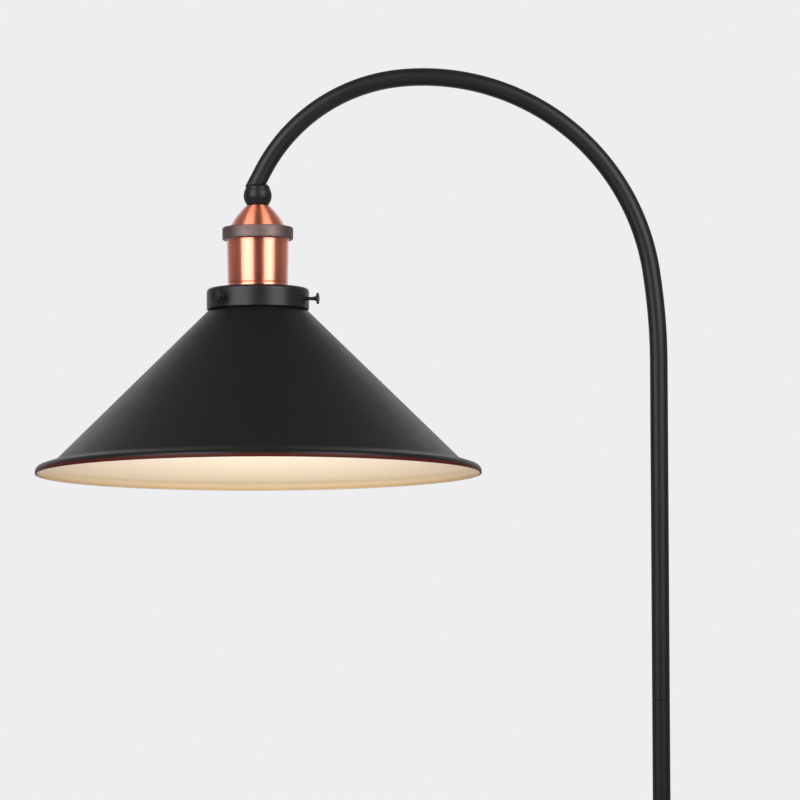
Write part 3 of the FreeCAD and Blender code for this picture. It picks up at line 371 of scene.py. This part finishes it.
def powder_coated(name, code, low, high, gloss):
    """A powder coat whose roughness lies between two values."""
    coat, tree, shader, place = surface(name, code, low, extra={"Specular IOR Level": gloss})
    worn_gloss(tree, shader, place, COAT_PATCH, low, high)
    grained(tree, shader, place, COAT_GRAIN, COAT_DEPTH, COAT_RELIEF)
    return coat


satin_black = powder_coated("satin_black_powder_coat", "0C0C0D", 0.38, 0.44, 0.22)

cover_low, cover_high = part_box("base_cover")
COVER_WALL = 1.2
COVER_CORNER = 6.0
COVER_CROWN = 4.0
COVER_FLAT = 22.0
COVER_BORE = 4.0
cover_radius = cover_high.x / MM
cover_top = cover_high.z / MM
cover_foot = cover_low.z / MM
cover_edge = cover_top - COVER_CROWN
mesh = bmesh.new()
turned(mesh, (
    (COVER_BORE, cover_top - COVER_WALL),
    (COVER_FLAT, cover_top - COVER_WALL),
    (cover_radius - COVER_CORNER, cover_edge - COVER_WALL, COVER_CORNER - COVER_WALL, -1),
    (cover_radius - COVER_WALL, cover_edge - COVER_CORNER),
    (cover_radius - COVER_WALL, cover_foot),
    (cover_radius, cover_foot),
    (cover_radius, cover_edge - COVER_CORNER, COVER_CORNER, 1),
    (cover_radius - COVER_CORNER, cover_edge),
    (COVER_FLAT, cover_top),
    (COVER_BORE, cover_top),
), FLOOR, steps=192)
finished("spun_base_cover", mesh, [satin_black], "stand", ["base_cover"], edge=0.3)


# Cord bushing: black moulded rubber, pushed into the cover's side, with its
# flange on the cover's face. It is dull, with the mould's fine grain.
rubber, tree, shader, place = surface("moulded_rubber", "202021", 0.7)
grained(tree, shader, place, 0.5, 0.02)

bushing_low, bushing_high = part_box("cord_bushing")
BUSHING_BORE = 2.6
BUSHING_NECK = 4.2
BUSHING_FLANGE = 1.6
BUSHING_EDGE = 0.5
bushing_middle = (bushing_low + bushing_high) / 2
bushing_radius = (bushing_high.z - bushing_low.z) / 2 / MM
bushing_length = (bushing_high.x - bushing_low.x) / MM
bushing_face = Vector((bushing_high.x - BUSHING_FLANGE * MM, 0, bushing_middle.z))
mesh = bmesh.new()
turned(mesh, (
    (BUSHING_FLANGE - bushing_length, BUSHING_BORE),
    (BUSHING_FLANGE, BUSHING_BORE),
    (BUSHING_FLANGE, bushing_radius - BUSHING_EDGE, BUSHING_EDGE, 1),
    (BUSHING_FLANGE - BUSHING_EDGE, bushing_radius),
    (0, bushing_radius),
    (0, BUSHING_NECK),
    (BUSHING_FLANGE - bushing_length, BUSHING_NECK),
), bushing_face, axis=(1, 0, 0), steps=64)
finished("rubber_bushing", mesh, [rubber], "stand", ["cord_bushing"], edge=0.15)


# Fastenings inside the base, the pole and the head: steel, bright zinc plated,
# which leaves a cool sheen with a faint mottle.
zinc, tree, shader, place = surface("bright_zinc_plated_steel", "B4B8BC", 0.32, metallic=1.0)
worn_gloss(tree, shader, place, 4.0, 0.26, 0.42)
grained(tree, shader, place, 0.4, 0.01)
dress(zinc, "base_stud", "base_washer", "base_nut", "tapped_sleeves", "joint_studs", "tilt_pins",
      "stem_washer", "stem_nut", "terminal_screws")


# Pole foot: a collar turned from steel bar, with a hollow curve up to the tube,
# powder coated with the cover.
foot_low, foot_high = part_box("pole_foot")
FOOT_RIM = 3.0
FOOT_CURVE = 18.0
FOOT_NECK = 2.2
TUBE_RADIUS = 6.0
TUBE_WALL = 1.0
TUBE_CHAMFER = 0.3
foot_radius = foot_high.x / MM
foot_floor = foot_low.z / MM
foot_top = foot_high.z / MM
mesh = bmesh.new()
turned(mesh, (
    (TUBE_RADIUS, foot_floor),
    (foot_radius, foot_floor),
    (foot_radius, foot_floor + FOOT_RIM, FOOT_CURVE, -1),
    (TUBE_RADIUS + FOOT_NECK, foot_top),
    (TUBE_RADIUS, foot_top),
), FLOOR, steps=96)
finished("turned_pole_foot", mesh, [satin_black], "stand", ["pole_foot"], edge=0.3)


# Pole: three straight lengths of 12 mm steel tube that screw together. The
# broken edges at each joint leave a fine line.
for node in ("pole_lower", "pole_middle", "pole_upper"):
    low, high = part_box(node)
    foot, head = low.z / MM, high.z / MM
    mesh = bmesh.new()
    turned(mesh, (
        (TUBE_RADIUS - TUBE_WALL, foot),
        (TUBE_RADIUS - TUBE_CHAMFER, foot),
        (TUBE_RADIUS, foot + TUBE_CHAMFER),
        (TUBE_RADIUS, head - TUBE_CHAMFER),
        (TUBE_RADIUS - TUBE_CHAMFER, head),
        (TUBE_RADIUS - TUBE_WALL, head),
    ), FLOOR, steps=64)
    finished(node + "_tube", mesh, [satin_black], "stand", [node])


# Arched arm: one length of the same tube, bent on rollers in three blends and
# cut level where it is welded to the ball.
ARM_STRAIGHT = 227.0
ARM_BENDS = ((415.0, 8.7), (155.3, 86.8), (117.0, 57.0))
ARM_OVERRUN = 24.0
ARM_SIDES = 48
ARM_STEP = 1.5
ARM_MIDDLE = -0.1
CUT_REACH = 1e-7
arm_foot = Vector((0, 0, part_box("arched_arm")[0].z))
mesh = bmesh.new()
for radius in (TUBE_RADIUS, TUBE_RADIUS - TUBE_WALL):
    bmesh.ops.create_circle(mesh, radius=radius * MM, segments=ARM_SIDES,
                            matrix=Matrix.Translation(arm_foot))


def moved_on(mesh, ends, step):
    """Draw the open ends of a tube on by a straight step."""
    made = bmesh.ops.extrude_edge_only(mesh, edges=ends)["geom"]
    new_verts = [item for item in made if isinstance(item, bmesh.types.BMVert)]
    bmesh.ops.translate(mesh, vec=step, verts=new_verts)
    return [item for item in made if isinstance(item, bmesh.types.BMEdge)]


first_ends = list(mesh.edges)
made = moved_on(mesh, first_ends, Vector((0, 0, TUBE_CHAMFER * MM)))
ends = [item for item in made if all(vert.co.z > arm_foot.z for vert in item.verts)]
for vert in {vert for item in first_ends for vert in item.verts}:
    if vert.co.xy.length > (TUBE_RADIUS - TUBE_WALL / 2) * MM:
        vert.co.xy *= (TUBE_RADIUS - TUBE_CHAMFER) / TUBE_RADIUS
made = moved_on(mesh, ends, Vector((0, 0, (ARM_STRAIGHT - TUBE_CHAMFER) * MM)))
spot = arm_foot + Vector((0, 0, ARM_STRAIGHT * MM))
ends = [item for item in made if all(abs(vert.co.z - spot.z) < MM / 10 for vert in item.verts)]
turn_so_far = 0.0
for radius, degrees in ARM_BENDS:
    inward = Vector((-math.cos(turn_so_far), 0, -math.sin(turn_so_far)))
    centre = spot + inward * radius * MM
    angle = math.radians(degrees)
    geom = ends + list({vert for item in ends for vert in item.verts})
    made = bmesh.ops.spin(mesh, geom=geom, cent=centre, axis=(0, -1, 0), angle=angle,
                          steps=math.ceil(degrees / ARM_STEP))
    ends = [item for item in made["geom_last"] if isinstance(item, bmesh.types.BMEdge)]
    turn_so_far += angle
    spot = centre + Vector((math.cos(turn_so_far), 0, math.sin(turn_so_far))) * radius * MM
onward = Vector((-math.sin(turn_so_far), 0, math.cos(turn_so_far)))
old_faces = set(mesh.faces)
moved_on(mesh, ends, onward * ARM_OVERRUN * MM)
tail = [face for face in mesh.faces if face not in old_faces]
tail_edges = list({edge for face in tail for edge in face.edges})
tail_verts = list({vert for face in tail for vert in face.verts})
bmesh.ops.bisect_plane(mesh, geom=tail + tail_edges + tail_verts, dist=CUT_REACH,
                       plane_co=(0, 0, ball_high.z), plane_no=(0, 0, -1), clear_outer=True)
open_edges = [item for item in mesh.edges if item.is_boundary]
bmesh.ops.bridge_loops(mesh, edges=[item for item in open_edges if item.verts[0].co.x > ARM_MIDDLE])
bmesh.ops.bridge_loops(mesh, edges=[item for item in open_edges if item.verts[0].co.x < ARM_MIDDLE])
finished("bent_arm", mesh, [satin_black], "stand", ["arched_arm"])


# Supply flex: a round flex in a black PVC sheath, hidden in the tubes. The
# sheath is smooth, with a low sheen.
sheath, tree, shader, place = surface("black_pvc_sheath", "1E1E1F", 0.5)
grained(tree, shader, place, 0.6, 0.02)
dress(sheath, "supply_flex")


# Swivel ball: a hollow steel ball turned in one piece and coated with the arm.
# A weld, ground smooth, joins its flat top to the tube, and the stem hangs
# through its mouth.
BALL_RADIUS = 9.5
BALL_FLAT = 6.5
BALL_CAVITY = 7.9
BALL_HOLE = 3.2
CAVITY_SIDE = 2.8
CAVITY_CONE = 6.8
CAVITY_ROOF = 3.9
WELD_BORE = 5.6
WELD_NECK = 6.3
WELD_TOP = 7.7
WELD_FOOT = 8.4
WELD_CURVE = 4.0
ball_mouth = math.sqrt(BALL_RADIUS ** 2 - BALL_FLAT ** 2)
mesh = bmesh.new()
turned(mesh, (
    (BALL_HOLE, BALL_FLAT),
    (WELD_BORE, BALL_FLAT),
    (WELD_BORE, WELD_TOP),
    (WELD_NECK, WELD_TOP, WELD_CURVE, -1),
    (WELD_FOOT, math.sqrt(BALL_RADIUS ** 2 - WELD_FOOT ** 2), BALL_RADIUS, -1),
    (ball_mouth, -BALL_FLAT),
    (ball_mouth * BALL_CAVITY / BALL_RADIUS, -BALL_FLAT * BALL_CAVITY / BALL_RADIUS, BALL_CAVITY, 1),
    (BALL_CAVITY, 0),
    (BALL_CAVITY, CAVITY_SIDE),
    (CAVITY_CONE, CAVITY_ROOF),
    (BALL_HOLE, CAVITY_ROOF),
), BALL)
finished("turned_ball", mesh, [satin_black], "stand", ["swivel_ball"], edge=0.1)


# Friction cup, stem, terminal tabs and contact: turned and stamped brass, left
# bright, with a fine tool mark.
brass, tree, shader, place = surface("bright_brass", "D9B36A", 0.25, metallic=1.0)
worn_gloss(tree, shader, place, 5.0, 0.2, 0.34)
grained(tree, shader, place, 0.3, 0.01)
dress(brass, "friction_cup", "swivel_stem", "terminal_tabs", "centre_contact")


# Copper cap: drawn from sheet with a dished top under the ball, plated red
# copper, brushed while it turned on a mandrel and lacquered. The brushing runs
# round the axis, so it draws each highlight out into an upright streak.
COPPER_COLOUR = "F08868"
BRUSH_LINE = 0.4
BRUSH_DRAW = 1.2
BRUSH_DEPTH = 0.01
BRUSH_RELIEF = 0.25
BRUSH_GLOSS = (0.36, 0.44)
copper, tree, shader, place = surface("brushed_red_copper", COPPER_COLOUR, 0.33, metallic=1.0,
                                      extra={"Anisotropic": 0.9, "Anisotropic Rotation": 0.25,
                                             "Coat Weight": 1.0, "Coat Roughness": 0.2})
centred = add(tree, "Mapping", {"Location": -BALL}, {"Vector": place})
parts = add(tree, "SeparateXYZ", {}, {"Vector": centred.outputs[0]})
level = add(tree, "CombineXYZ", {}, {"X": parts.outputs["X"], "Y": parts.outputs["Y"]})
span = add(tree, "VectorMath", {"operation": "LENGTH"}, {0: level.outputs[0]})
bearing = add(tree, "Math", {"operation": "ARCTAN2"}, {0: parts.outputs["Y"], 1: parts.outputs["X"]})
drawn_out = add(tree, "Math", {"operation": "MULTIPLY", 1: BRUSH_DRAW * MM}, {0: bearing.outputs[0]})
lines = add(tree, "CombineXYZ", {}, {
    "X": span.outputs["Value"], "Y": drawn_out.outputs[0], "Z": parts.outputs["Z"],
})
brushing = add(tree, "TexNoise", {"Scale": 1 / (BRUSH_LINE * MM), "Detail": 3.0},
               {"Vector": lines.outputs[0]})
brushed_gloss = add(tree, "MapRange", {
    "From Min": NOISE_LOW, "From Max": NOISE_HIGH, "To Min": BRUSH_GLOSS[0], "To Max": BRUSH_GLOSS[1],
}, {"Value": brushing.outputs["Fac"]})
tree.links.new(shader.inputs["Roughness"], brushed_gloss.outputs[0])
brush_relief = add(tree, "Bump", {"Strength": BRUSH_RELIEF, "Distance": BRUSH_DEPTH * MM},
                   {"Height": brushing.outputs["Fac"]})
tree.links.new(shader.inputs["Normal"], brush_relief.outputs[0])
around = add(tree, "Tangent", {"direction_type": "RADIAL", "axis": "Z"})
tree.links.new(shader.inputs["Tangent"], around.outputs[0])

STEM_THREAD = 4.0
CAP_FLOOR = -10.8
CAP_WELL = 5.4
CAP_WALL = 0.8
DISH_RADIUS = 9.9
CAP_MOUTH = 7.3
CAP_RIM = 0.6
CAP_SIDE = 53.0
CAP_FOOT = 19.0
CAP_FLANGE = 21.3
RING_TOP = -21.4
FLANGE_TOP = -23.1
FLANGE_BOTTOM = -24.1
cap_rim_z = -math.sqrt(DISH_RADIUS ** 2 - CAP_MOUTH ** 2)
mesh = bmesh.new()
turned(mesh, (
    (STEM_THREAD, CAP_FLOOR),
    (CAP_WELL, CAP_FLOOR),
    (CAP_WELL, -math.sqrt(DISH_RADIUS ** 2 - CAP_WELL ** 2), DISH_RADIUS, 1),
    (CAP_MOUTH, cap_rim_z),
    (CAP_MOUTH + CAP_RIM, cap_rim_z, CAP_SIDE, -1),
    (CAP_FOOT, RING_TOP),
    (CAP_FOOT, FLANGE_TOP),
    (CAP_FLANGE, FLANGE_TOP),
    (CAP_FLANGE, FLANGE_BOTTOM),
    (CAP_FOOT - CAP_WALL, FLANGE_BOTTOM),
    (CAP_FOOT - CAP_WALL, RING_TOP, CAP_SIDE - CAP_WALL, 1),
    (CAP_MOUTH, cap_rim_z - 2 * CAP_WALL),
    (CAP_WELL + CAP_WALL, cap_rim_z - 2 * CAP_WALL),
    (CAP_WELL + CAP_WALL, CAP_FLOOR - CAP_WALL),
    (STEM_THREAD, CAP_FLOOR - CAP_WALL),
), BALL)
finished("brushed_cap", mesh, [copper], "head", ["copper_cap"], edge=0.15)


# Clamp ring: turned from brass, plated dark like old pewter and left satin. It
# screws down over the cap's flange on the shell's collar.
pewter, tree, shader, place = surface("dark_pewter_plate", "746561", 0.6, metallic=1.0,
                                      extra={"Anisotropic": 0.4, "Anisotropic Rotation": 0.25})
worn_gloss(tree, shader, place, 6.0, 0.58, 0.68)
mottled(tree, shader, place, 5.0, "6E5F5C", "7A6A66")
grained(tree, shader, place, 0.5, 0.015)
around = add(tree, "Tangent", {"direction_type": "RADIAL", "axis": "Z"})
tree.links.new(shader.inputs["Tangent"], around.outputs[0])

RING_RADIUS = 23.9
RING_BOTTOM = -30.0
RING_CORNER = 1.2
RING_LIP = 1.6
RING_BORE = CAP_FOOT + 0.1
COLLAR_RADIUS = 21.6
mesh = bmesh.new()
turned(mesh, (
    (RING_BORE, RING_TOP),
    (RING_RADIUS - RING_CORNER, RING_TOP, RING_CORNER, -1),
    (RING_RADIUS, RING_TOP - RING_CORNER),
    (RING_RADIUS, RING_BOTTOM + RING_CORNER, RING_CORNER, -1),
    (RING_RADIUS - RING_CORNER, RING_BOTTOM),
    (COLLAR_RADIUS, RING_BOTTOM),
    (COLLAR_RADIUS, RING_TOP - RING_LIP),
    (RING_BORE, RING_TOP - RING_LIP),
), BALL)
finished("pewter_ring", mesh, [pewter], "head", ["clamp_ring"], edge=0.15)


# Copper shell: drawn from the same sheet as the cap and finished with it. It
# tapers a little, has a rolled bead at its foot and a ledge inside for the socket.
SHELL_TOP = 21.0
SHELL_FOOT = 20.4
SHELL_STEP = 0.6
SHELL_WALL = 0.8
SHELL_END = -62.8
BEAD_TOP = -59.9
BEAD_RADIUS = 2.6
BEAD_GROOVE = 0.9
GROOVE_RADIUS = 0.5
SKIRT_RADIUS = 18.6
SHELL_BORE = SKIRT_RADIUS + 0.1
mesh = bmesh.new()
turned(mesh, (
    (COLLAR_RADIUS - SHELL_WALL, FLANGE_BOTTOM),
    (COLLAR_RADIUS, FLANGE_BOTTOM),
    (COLLAR_RADIUS, RING_BOTTOM + SHELL_STEP),
    (SHELL_TOP, RING_BOTTOM),
    (SHELL_FOOT, BEAD_TOP + BEAD_GROOVE, GROOVE_RADIUS, 1),
    (SHELL_FOOT, BEAD_TOP, BEAD_RADIUS, -1),
    (SHELL_FOOT, SHELL_END),
    (SHELL_BORE, SHELL_END),
    (SHELL_BORE, SHELL_END + SHELL_WALL),
    (SHELL_FOOT - SHELL_WALL, SHELL_END + SHELL_WALL),
    (SHELL_TOP - SHELL_WALL, RING_BOTTOM),
    (COLLAR_RADIUS - SHELL_WALL, RING_BOTTOM + SHELL_STEP),
), BALL)
finished("brushed_shell", mesh, [copper], "head", ["copper_shell"], edge=0.12)


# Insulating liner: grey vulcanised fibre, a dense rag paper, rolled into a tube
# and pushed into the shell. It is matt and faintly flecked.
fibre, tree, shader, place = surface("vulcanised_fibre", "9A958B", 0.8)
mottled(tree, shader, place, 2.0, "8E897F", "A6A197")
grained(tree, shader, place, 0.4, 0.03)
dress(fibre, "insulating_liner")


# Wires: two cores in smooth PVC with a soft shine, brown for line and blue for
# neutral, from the stem to the terminals.
brown_pvc, tree, shader, place = surface("brown_pvc_insulation", "5B3420", 0.45)
grained(tree, shader, place, 0.5, 0.01)
dress(brown_pvc, "line_wire")
blue_pvc, tree, shader, place = surface("blue_pvc_insulation", "2A5FA5", 0.45)
grained(tree, shader, place, 0.5, 0.01)
dress(blue_pvc, "neutral_wire")


# Socket body: moulded in black phenolic with wood-flour filler, so it is dark
# brown-black with a dull shine. Its skirt carries a coarse outer thread.
phenolic, tree, shader, place = surface("moulded_phenolic", "221E1C", 0.4)
mottled(tree, shader, place, 1.5, "1E1A18", "28231F")
grained(tree, shader, place, 0.6, 0.02)
dress(phenolic, "socket_body", "holder_ring")


# Screw shell: thin brass rolled into the round screw thread that takes the
# bulb's cap. It turns in over the body's step at its top.
BULB_PITCH = 3.6
THREAD_DEPTH = 0.55
THREAD_SIDES = 12
THREAD_STEPS = 96
SHELL_SHEET = 0.35
SHELL_THROAT = 10.0
shell_low, shell_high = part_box("screw_shell")
shell_radius = (shell_high.x - shell_low.x) / 2 / MM
mesh = bmesh.new()
turns = math.ceil((shell_high.z - shell_low.z) / MM / BULB_PITCH) + 2
crest = shell_radius - SHELL_SHEET
start = Vector((BALL.x, 0, shell_low.z - BULB_PITCH * MM))
steps_up = [BULB_PITCH * index / THREAD_SIDES for index in range(turns * THREAD_SIDES)]
trace(mesh, [
    (crest - THREAD_DEPTH * (1 - math.cos(math.tau * up / BULB_PITCH)), up) for up in steps_up
], start, closed=False)
bmesh.ops.spin(mesh, geom=list(mesh.verts) + list(mesh.edges), cent=start, axis=(0, 0, 1),
               angle=math.tau, dvec=(0, 0, BULB_PITCH * MM / THREAD_STEPS), steps=THREAD_STEPS)
bmesh.ops.remove_doubles(mesh, verts=mesh.verts, dist=0.01 * MM)
for height, way in ((shell_low.z, -1), (shell_high.z - SHELL_SHEET * MM, 1)):
    everything = list(mesh.verts) + list(mesh.edges) + list(mesh.faces)
    bmesh.ops.bisect_plane(mesh, geom=everything, dist=CUT_REACH, plane_co=(0, 0, height),
                           plane_no=(0, 0, way), clear_outer=True)
bmesh.ops.recalc_face_normals(mesh, faces=mesh.faces)
bmesh.ops.solidify(mesh, geom=list(mesh.faces), thickness=SHELL_SHEET * MM)
turned(mesh, (
    (SHELL_THROAT, -SHELL_SHEET),
    (shell_radius - 2 * SHELL_SHEET, -SHELL_SHEET),
    (shell_radius - 2 * SHELL_SHEET, 0),
    (SHELL_THROAT, 0),
), Vector((BALL.x, 0, shell_high.z)))
finished("threaded_screw_shell", mesh, [brass], "head", ["screw_shell"])


# Shade holder: drawn from steel sheet with a rounded top edge, tapped three
# times for the thumbscrews and powder coated a little glossier than the tube.
holder_black = powder_coated("satin_black_holder_coat", "0E0E11", 0.34, 0.4, 0.27)

HOLDER_RADIUS = 34.5
HOLDER_BOTTOM = -77.0
HOLDER_WALL = 1.2
HOLDER_CORNER = 2.6
HOLDER_HOLE = SKIRT_RADIUS + 0.2
mesh = bmesh.new()
turned(mesh, (
    (HOLDER_HOLE, SHELL_END),
    (HOLDER_RADIUS - HOLDER_CORNER, SHELL_END, HOLDER_CORNER, -1),
    (HOLDER_RADIUS, SHELL_END - HOLDER_CORNER),
    (HOLDER_RADIUS, HOLDER_BOTTOM),
    (HOLDER_RADIUS - HOLDER_WALL, HOLDER_BOTTOM),
    (HOLDER_RADIUS - HOLDER_WALL, SHELL_END - HOLDER_CORNER, HOLDER_CORNER - HOLDER_WALL, 1),
    (HOLDER_RADIUS - HOLDER_CORNER, SHELL_END - HOLDER_WALL),
    (HOLDER_HOLE, SHELL_END - HOLDER_WALL),
), BALL)
finished("drawn_shade_holder", mesh, [holder_black], "head", ["shade_holder"], edge=0.2)


# Thumbscrews: turned steel, chemically blackened, which leaves a dull brown-black.
# A flared head with a slightly domed face, and a fine thread on the shank.
blackened, tree, shader, place = surface("blackened_steel", "120D0B", 0.45,
                                         extra={"Specular IOR Level": 0.25})
worn_gloss(tree, shader, place, 3.0, 0.42, 0.5)
grained(tree, shader, place, 0.4, 0.01)

SCREW_HEIGHT = -70.4
SCREW_START = 33.0
SCREW_SHANK = 38.6
SCREW_FLARE = 40.9
SCREW_END = 41.7
SCREW_DOME = 0.3
SCREW_RADIUS = 1.25
SCREW_HEAD = 3.9
SCREW_FLARE_CURVE = 2.6
SCREW_PITCH = 0.7
SCREW_CUT = 0.22
SCREW_POINT = 0.4
dome = (SCREW_HEAD ** 2 + SCREW_DOME ** 2) / (2 * SCREW_DOME)
crest = SCREW_START + SCREW_POINT
shank = [(SCREW_START, 0), (SCREW_START, SCREW_RADIUS - SCREW_POINT), (crest, SCREW_RADIUS)]
while crest + 2 * SCREW_PITCH < SCREW_SHANK:
    shank += [(crest + SCREW_PITCH / 2, SCREW_RADIUS - SCREW_CUT), (crest + SCREW_PITCH, SCREW_RADIUS)]
    crest += SCREW_PITCH
screw_centre = BALL + Vector((0, 0, SCREW_HEIGHT * MM))
for node, degrees in (("thumbscrew_right", -12), ("thumbscrew_rear", 108), ("thumbscrew_left", -132)):
    swing = Matrix.Rotation(math.radians(degrees), 3, "Z")
    mesh = bmesh.new()
    turned(mesh, shank + [
        (SCREW_SHANK, SCREW_RADIUS, SCREW_FLARE_CURVE, 1),
        (SCREW_FLARE, SCREW_HEAD),
        (SCREW_END, SCREW_HEAD, dome, -1),
        (SCREW_END + SCREW_DOME, 0),
    ], screw_centre, axis=(1, 0, 0), closed=False, steps=48)
    bmesh.ops.rotate(mesh, cent=screw_centre, matrix=swing, verts=mesh.verts)
    finished(node + "_turned", mesh, [blackened], node, [node], edge=0.12)


# Lamp shade: a cone spun from 0.8 mm steel with a short neck, a flared lip and
# a folded hem. Powder coated satin black outside and stove enamelled cream
# inside; where the coats meet on the hem, the red-brown primer shows.
shade_black = powder_coated("satin_black_shade_coat", "090909", 0.36, 0.41, 0.2)

# The enamel is smooth. Towards the rim it is painted darker and browner: painted shade, where the
# turned-down lip gets less light.
CREAM = "F7E9D6"
SHADED_RIM_CREAM = "C4AA80"
RIM_SHADE_START = BALL.z - 0.188
RIM_SHADE_DEPTH = 0.026
cream, tree, shader, place = surface("cream_stove_enamel", CREAM, 0.4)
grained(tree, shader, place, 1.5, 0.01, 0.5)
heights = add(tree, "SeparateXYZ", {}, {"Vector": place})
# This ramp paints shade into the cream, darker and browner towards the rim.
rim_shade_fade = add(tree, "MapRange", {"From Min": RIM_SHADE_START, "From Max": RIM_SHADE_START + RIM_SHADE_DEPTH},
             {"Value": heights.outputs["Z"]})
rim_shade_ramp = add(tree, "ValToRGB", {}, {"Fac": rim_shade_fade.outputs[0]})
rim_shade_ramp.color_ramp.elements[0].color = linear(SHADED_RIM_CREAM)
rim_shade_ramp.color_ramp.elements[1].color = linear(CREAM)
tree.links.new(shader.inputs["Base Color"], rim_shade_ramp.outputs["Color"])

# The primer is a thin matt coat of red oxide.
primer, tree, shader, place = surface("red_brown_primer", "340B05", 0.5,
                                      extra={"Specular IOR Level": 0.1})
grained(tree, shader, place, 0.6, 0.02)

shade_low, shade_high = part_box("lamp_shade")
SHADE_WALL = 0.8
NECK_RADIUS = 32.9
NECK_TOP = -64.3
NECK_LIP = 6.0
NECK_CORNER = 1.5
SHOULDER_RUN = 0.83
SHOULDER_HEIGHT = 2.0
SHOULDER_CURVE = 2.83
CONE_TOP = -78.1
CONE_END = -178.9
CONE_RADIUS = 136.3
LIP_SLOPE = math.radians(18)
LIP_CORNER = 4.5
PRIMER_TURN = math.radians(12)
HEM_WALL = 0.6
HEM_HEIGHT = 0.9
rim_radius = (shade_high.y - shade_low.y) / 2 / MM
rim_z = (shade_low.z - BALL.z) / MM
cone_top_radius = NECK_RADIUS + SHOULDER_RUN
lip_end = rim_radius - LIP_CORNER * (1 - math.sin(LIP_SLOPE))
lip_end_z = CONE_END - (lip_end - CONE_RADIUS) * math.tan(LIP_SLOPE)
edge_z = lip_end_z - LIP_CORNER * math.cos(LIP_SLOPE)
cone_rate = (CONE_TOP - CONE_END) / (CONE_RADIUS - cone_top_radius)
cone_sink = SHADE_WALL * math.hypot(1, cone_rate)
lip_sink = SHADE_WALL / math.cos(LIP_SLOPE)
coat_end = (rim_radius - LIP_CORNER * (1 - math.cos(PRIMER_TURN)),
            edge_z + LIP_CORNER * math.sin(PRIMER_TURN))
corner_shift = (cone_sink - lip_sink) / (cone_rate - math.tan(LIP_SLOPE))
lip_wall = Vector((math.sin(LIP_SLOPE), math.cos(LIP_SLOPE))) * SHADE_WALL
neck_end = (NECK_RADIUS - NECK_LIP, NECK_TOP - SHADE_WALL)
hem_edge = rim_radius - SHADE_WALL - HEM_WALL
outside = (
    neck_end,
    (NECK_RADIUS - NECK_LIP, NECK_TOP),
    (NECK_RADIUS - NECK_CORNER, NECK_TOP, NECK_CORNER, -1),
    (NECK_RADIUS, NECK_TOP - NECK_CORNER),
    (NECK_RADIUS, CONE_TOP + SHOULDER_HEIGHT, SHOULDER_CURVE, 1),
    (cone_top_radius, CONE_TOP),
    (CONE_RADIUS, CONE_END),
    (lip_end, lip_end_z, LIP_CORNER, -1),
    coat_end,
)
hem = (coat_end + (LIP_CORNER, -1), (rim_radius, edge_z), (rim_radius, rim_z), (hem_edge, rim_z))
inside = (
    (hem_edge, rim_z),
    (hem_edge, rim_z + HEM_HEIGHT),
    (rim_radius - SHADE_WALL, rim_z + HEM_HEIGHT),
    (rim_radius - SHADE_WALL, edge_z, LIP_CORNER - SHADE_WALL, 1),
    (lip_end - lip_wall.x, lip_end_z - lip_wall.y),
    (CONE_RADIUS - corner_shift, CONE_END - cone_sink + cone_rate * corner_shift),
    (NECK_RADIUS, CONE_TOP - cone_sink + cone_rate * SHOULDER_RUN),
    (NECK_RADIUS - SHADE_WALL, CONE_TOP + SHOULDER_HEIGHT),
    (NECK_RADIUS - SHADE_WALL, NECK_TOP - NECK_CORNER, NECK_CORNER - SHADE_WALL, 1),
    (NECK_RADIUS - NECK_CORNER, NECK_TOP - SHADE_WALL),
    neck_end,
)
mesh = bmesh.new()
for paint, line in enumerate((outside, hem, inside)):
    turned(mesh, line, BALL, closed=False, steps=256, paint=paint)
finished("spun_shade", mesh, [shade_black, primer, cream], "shade", ["lamp_shade"],
         edge=0.15)
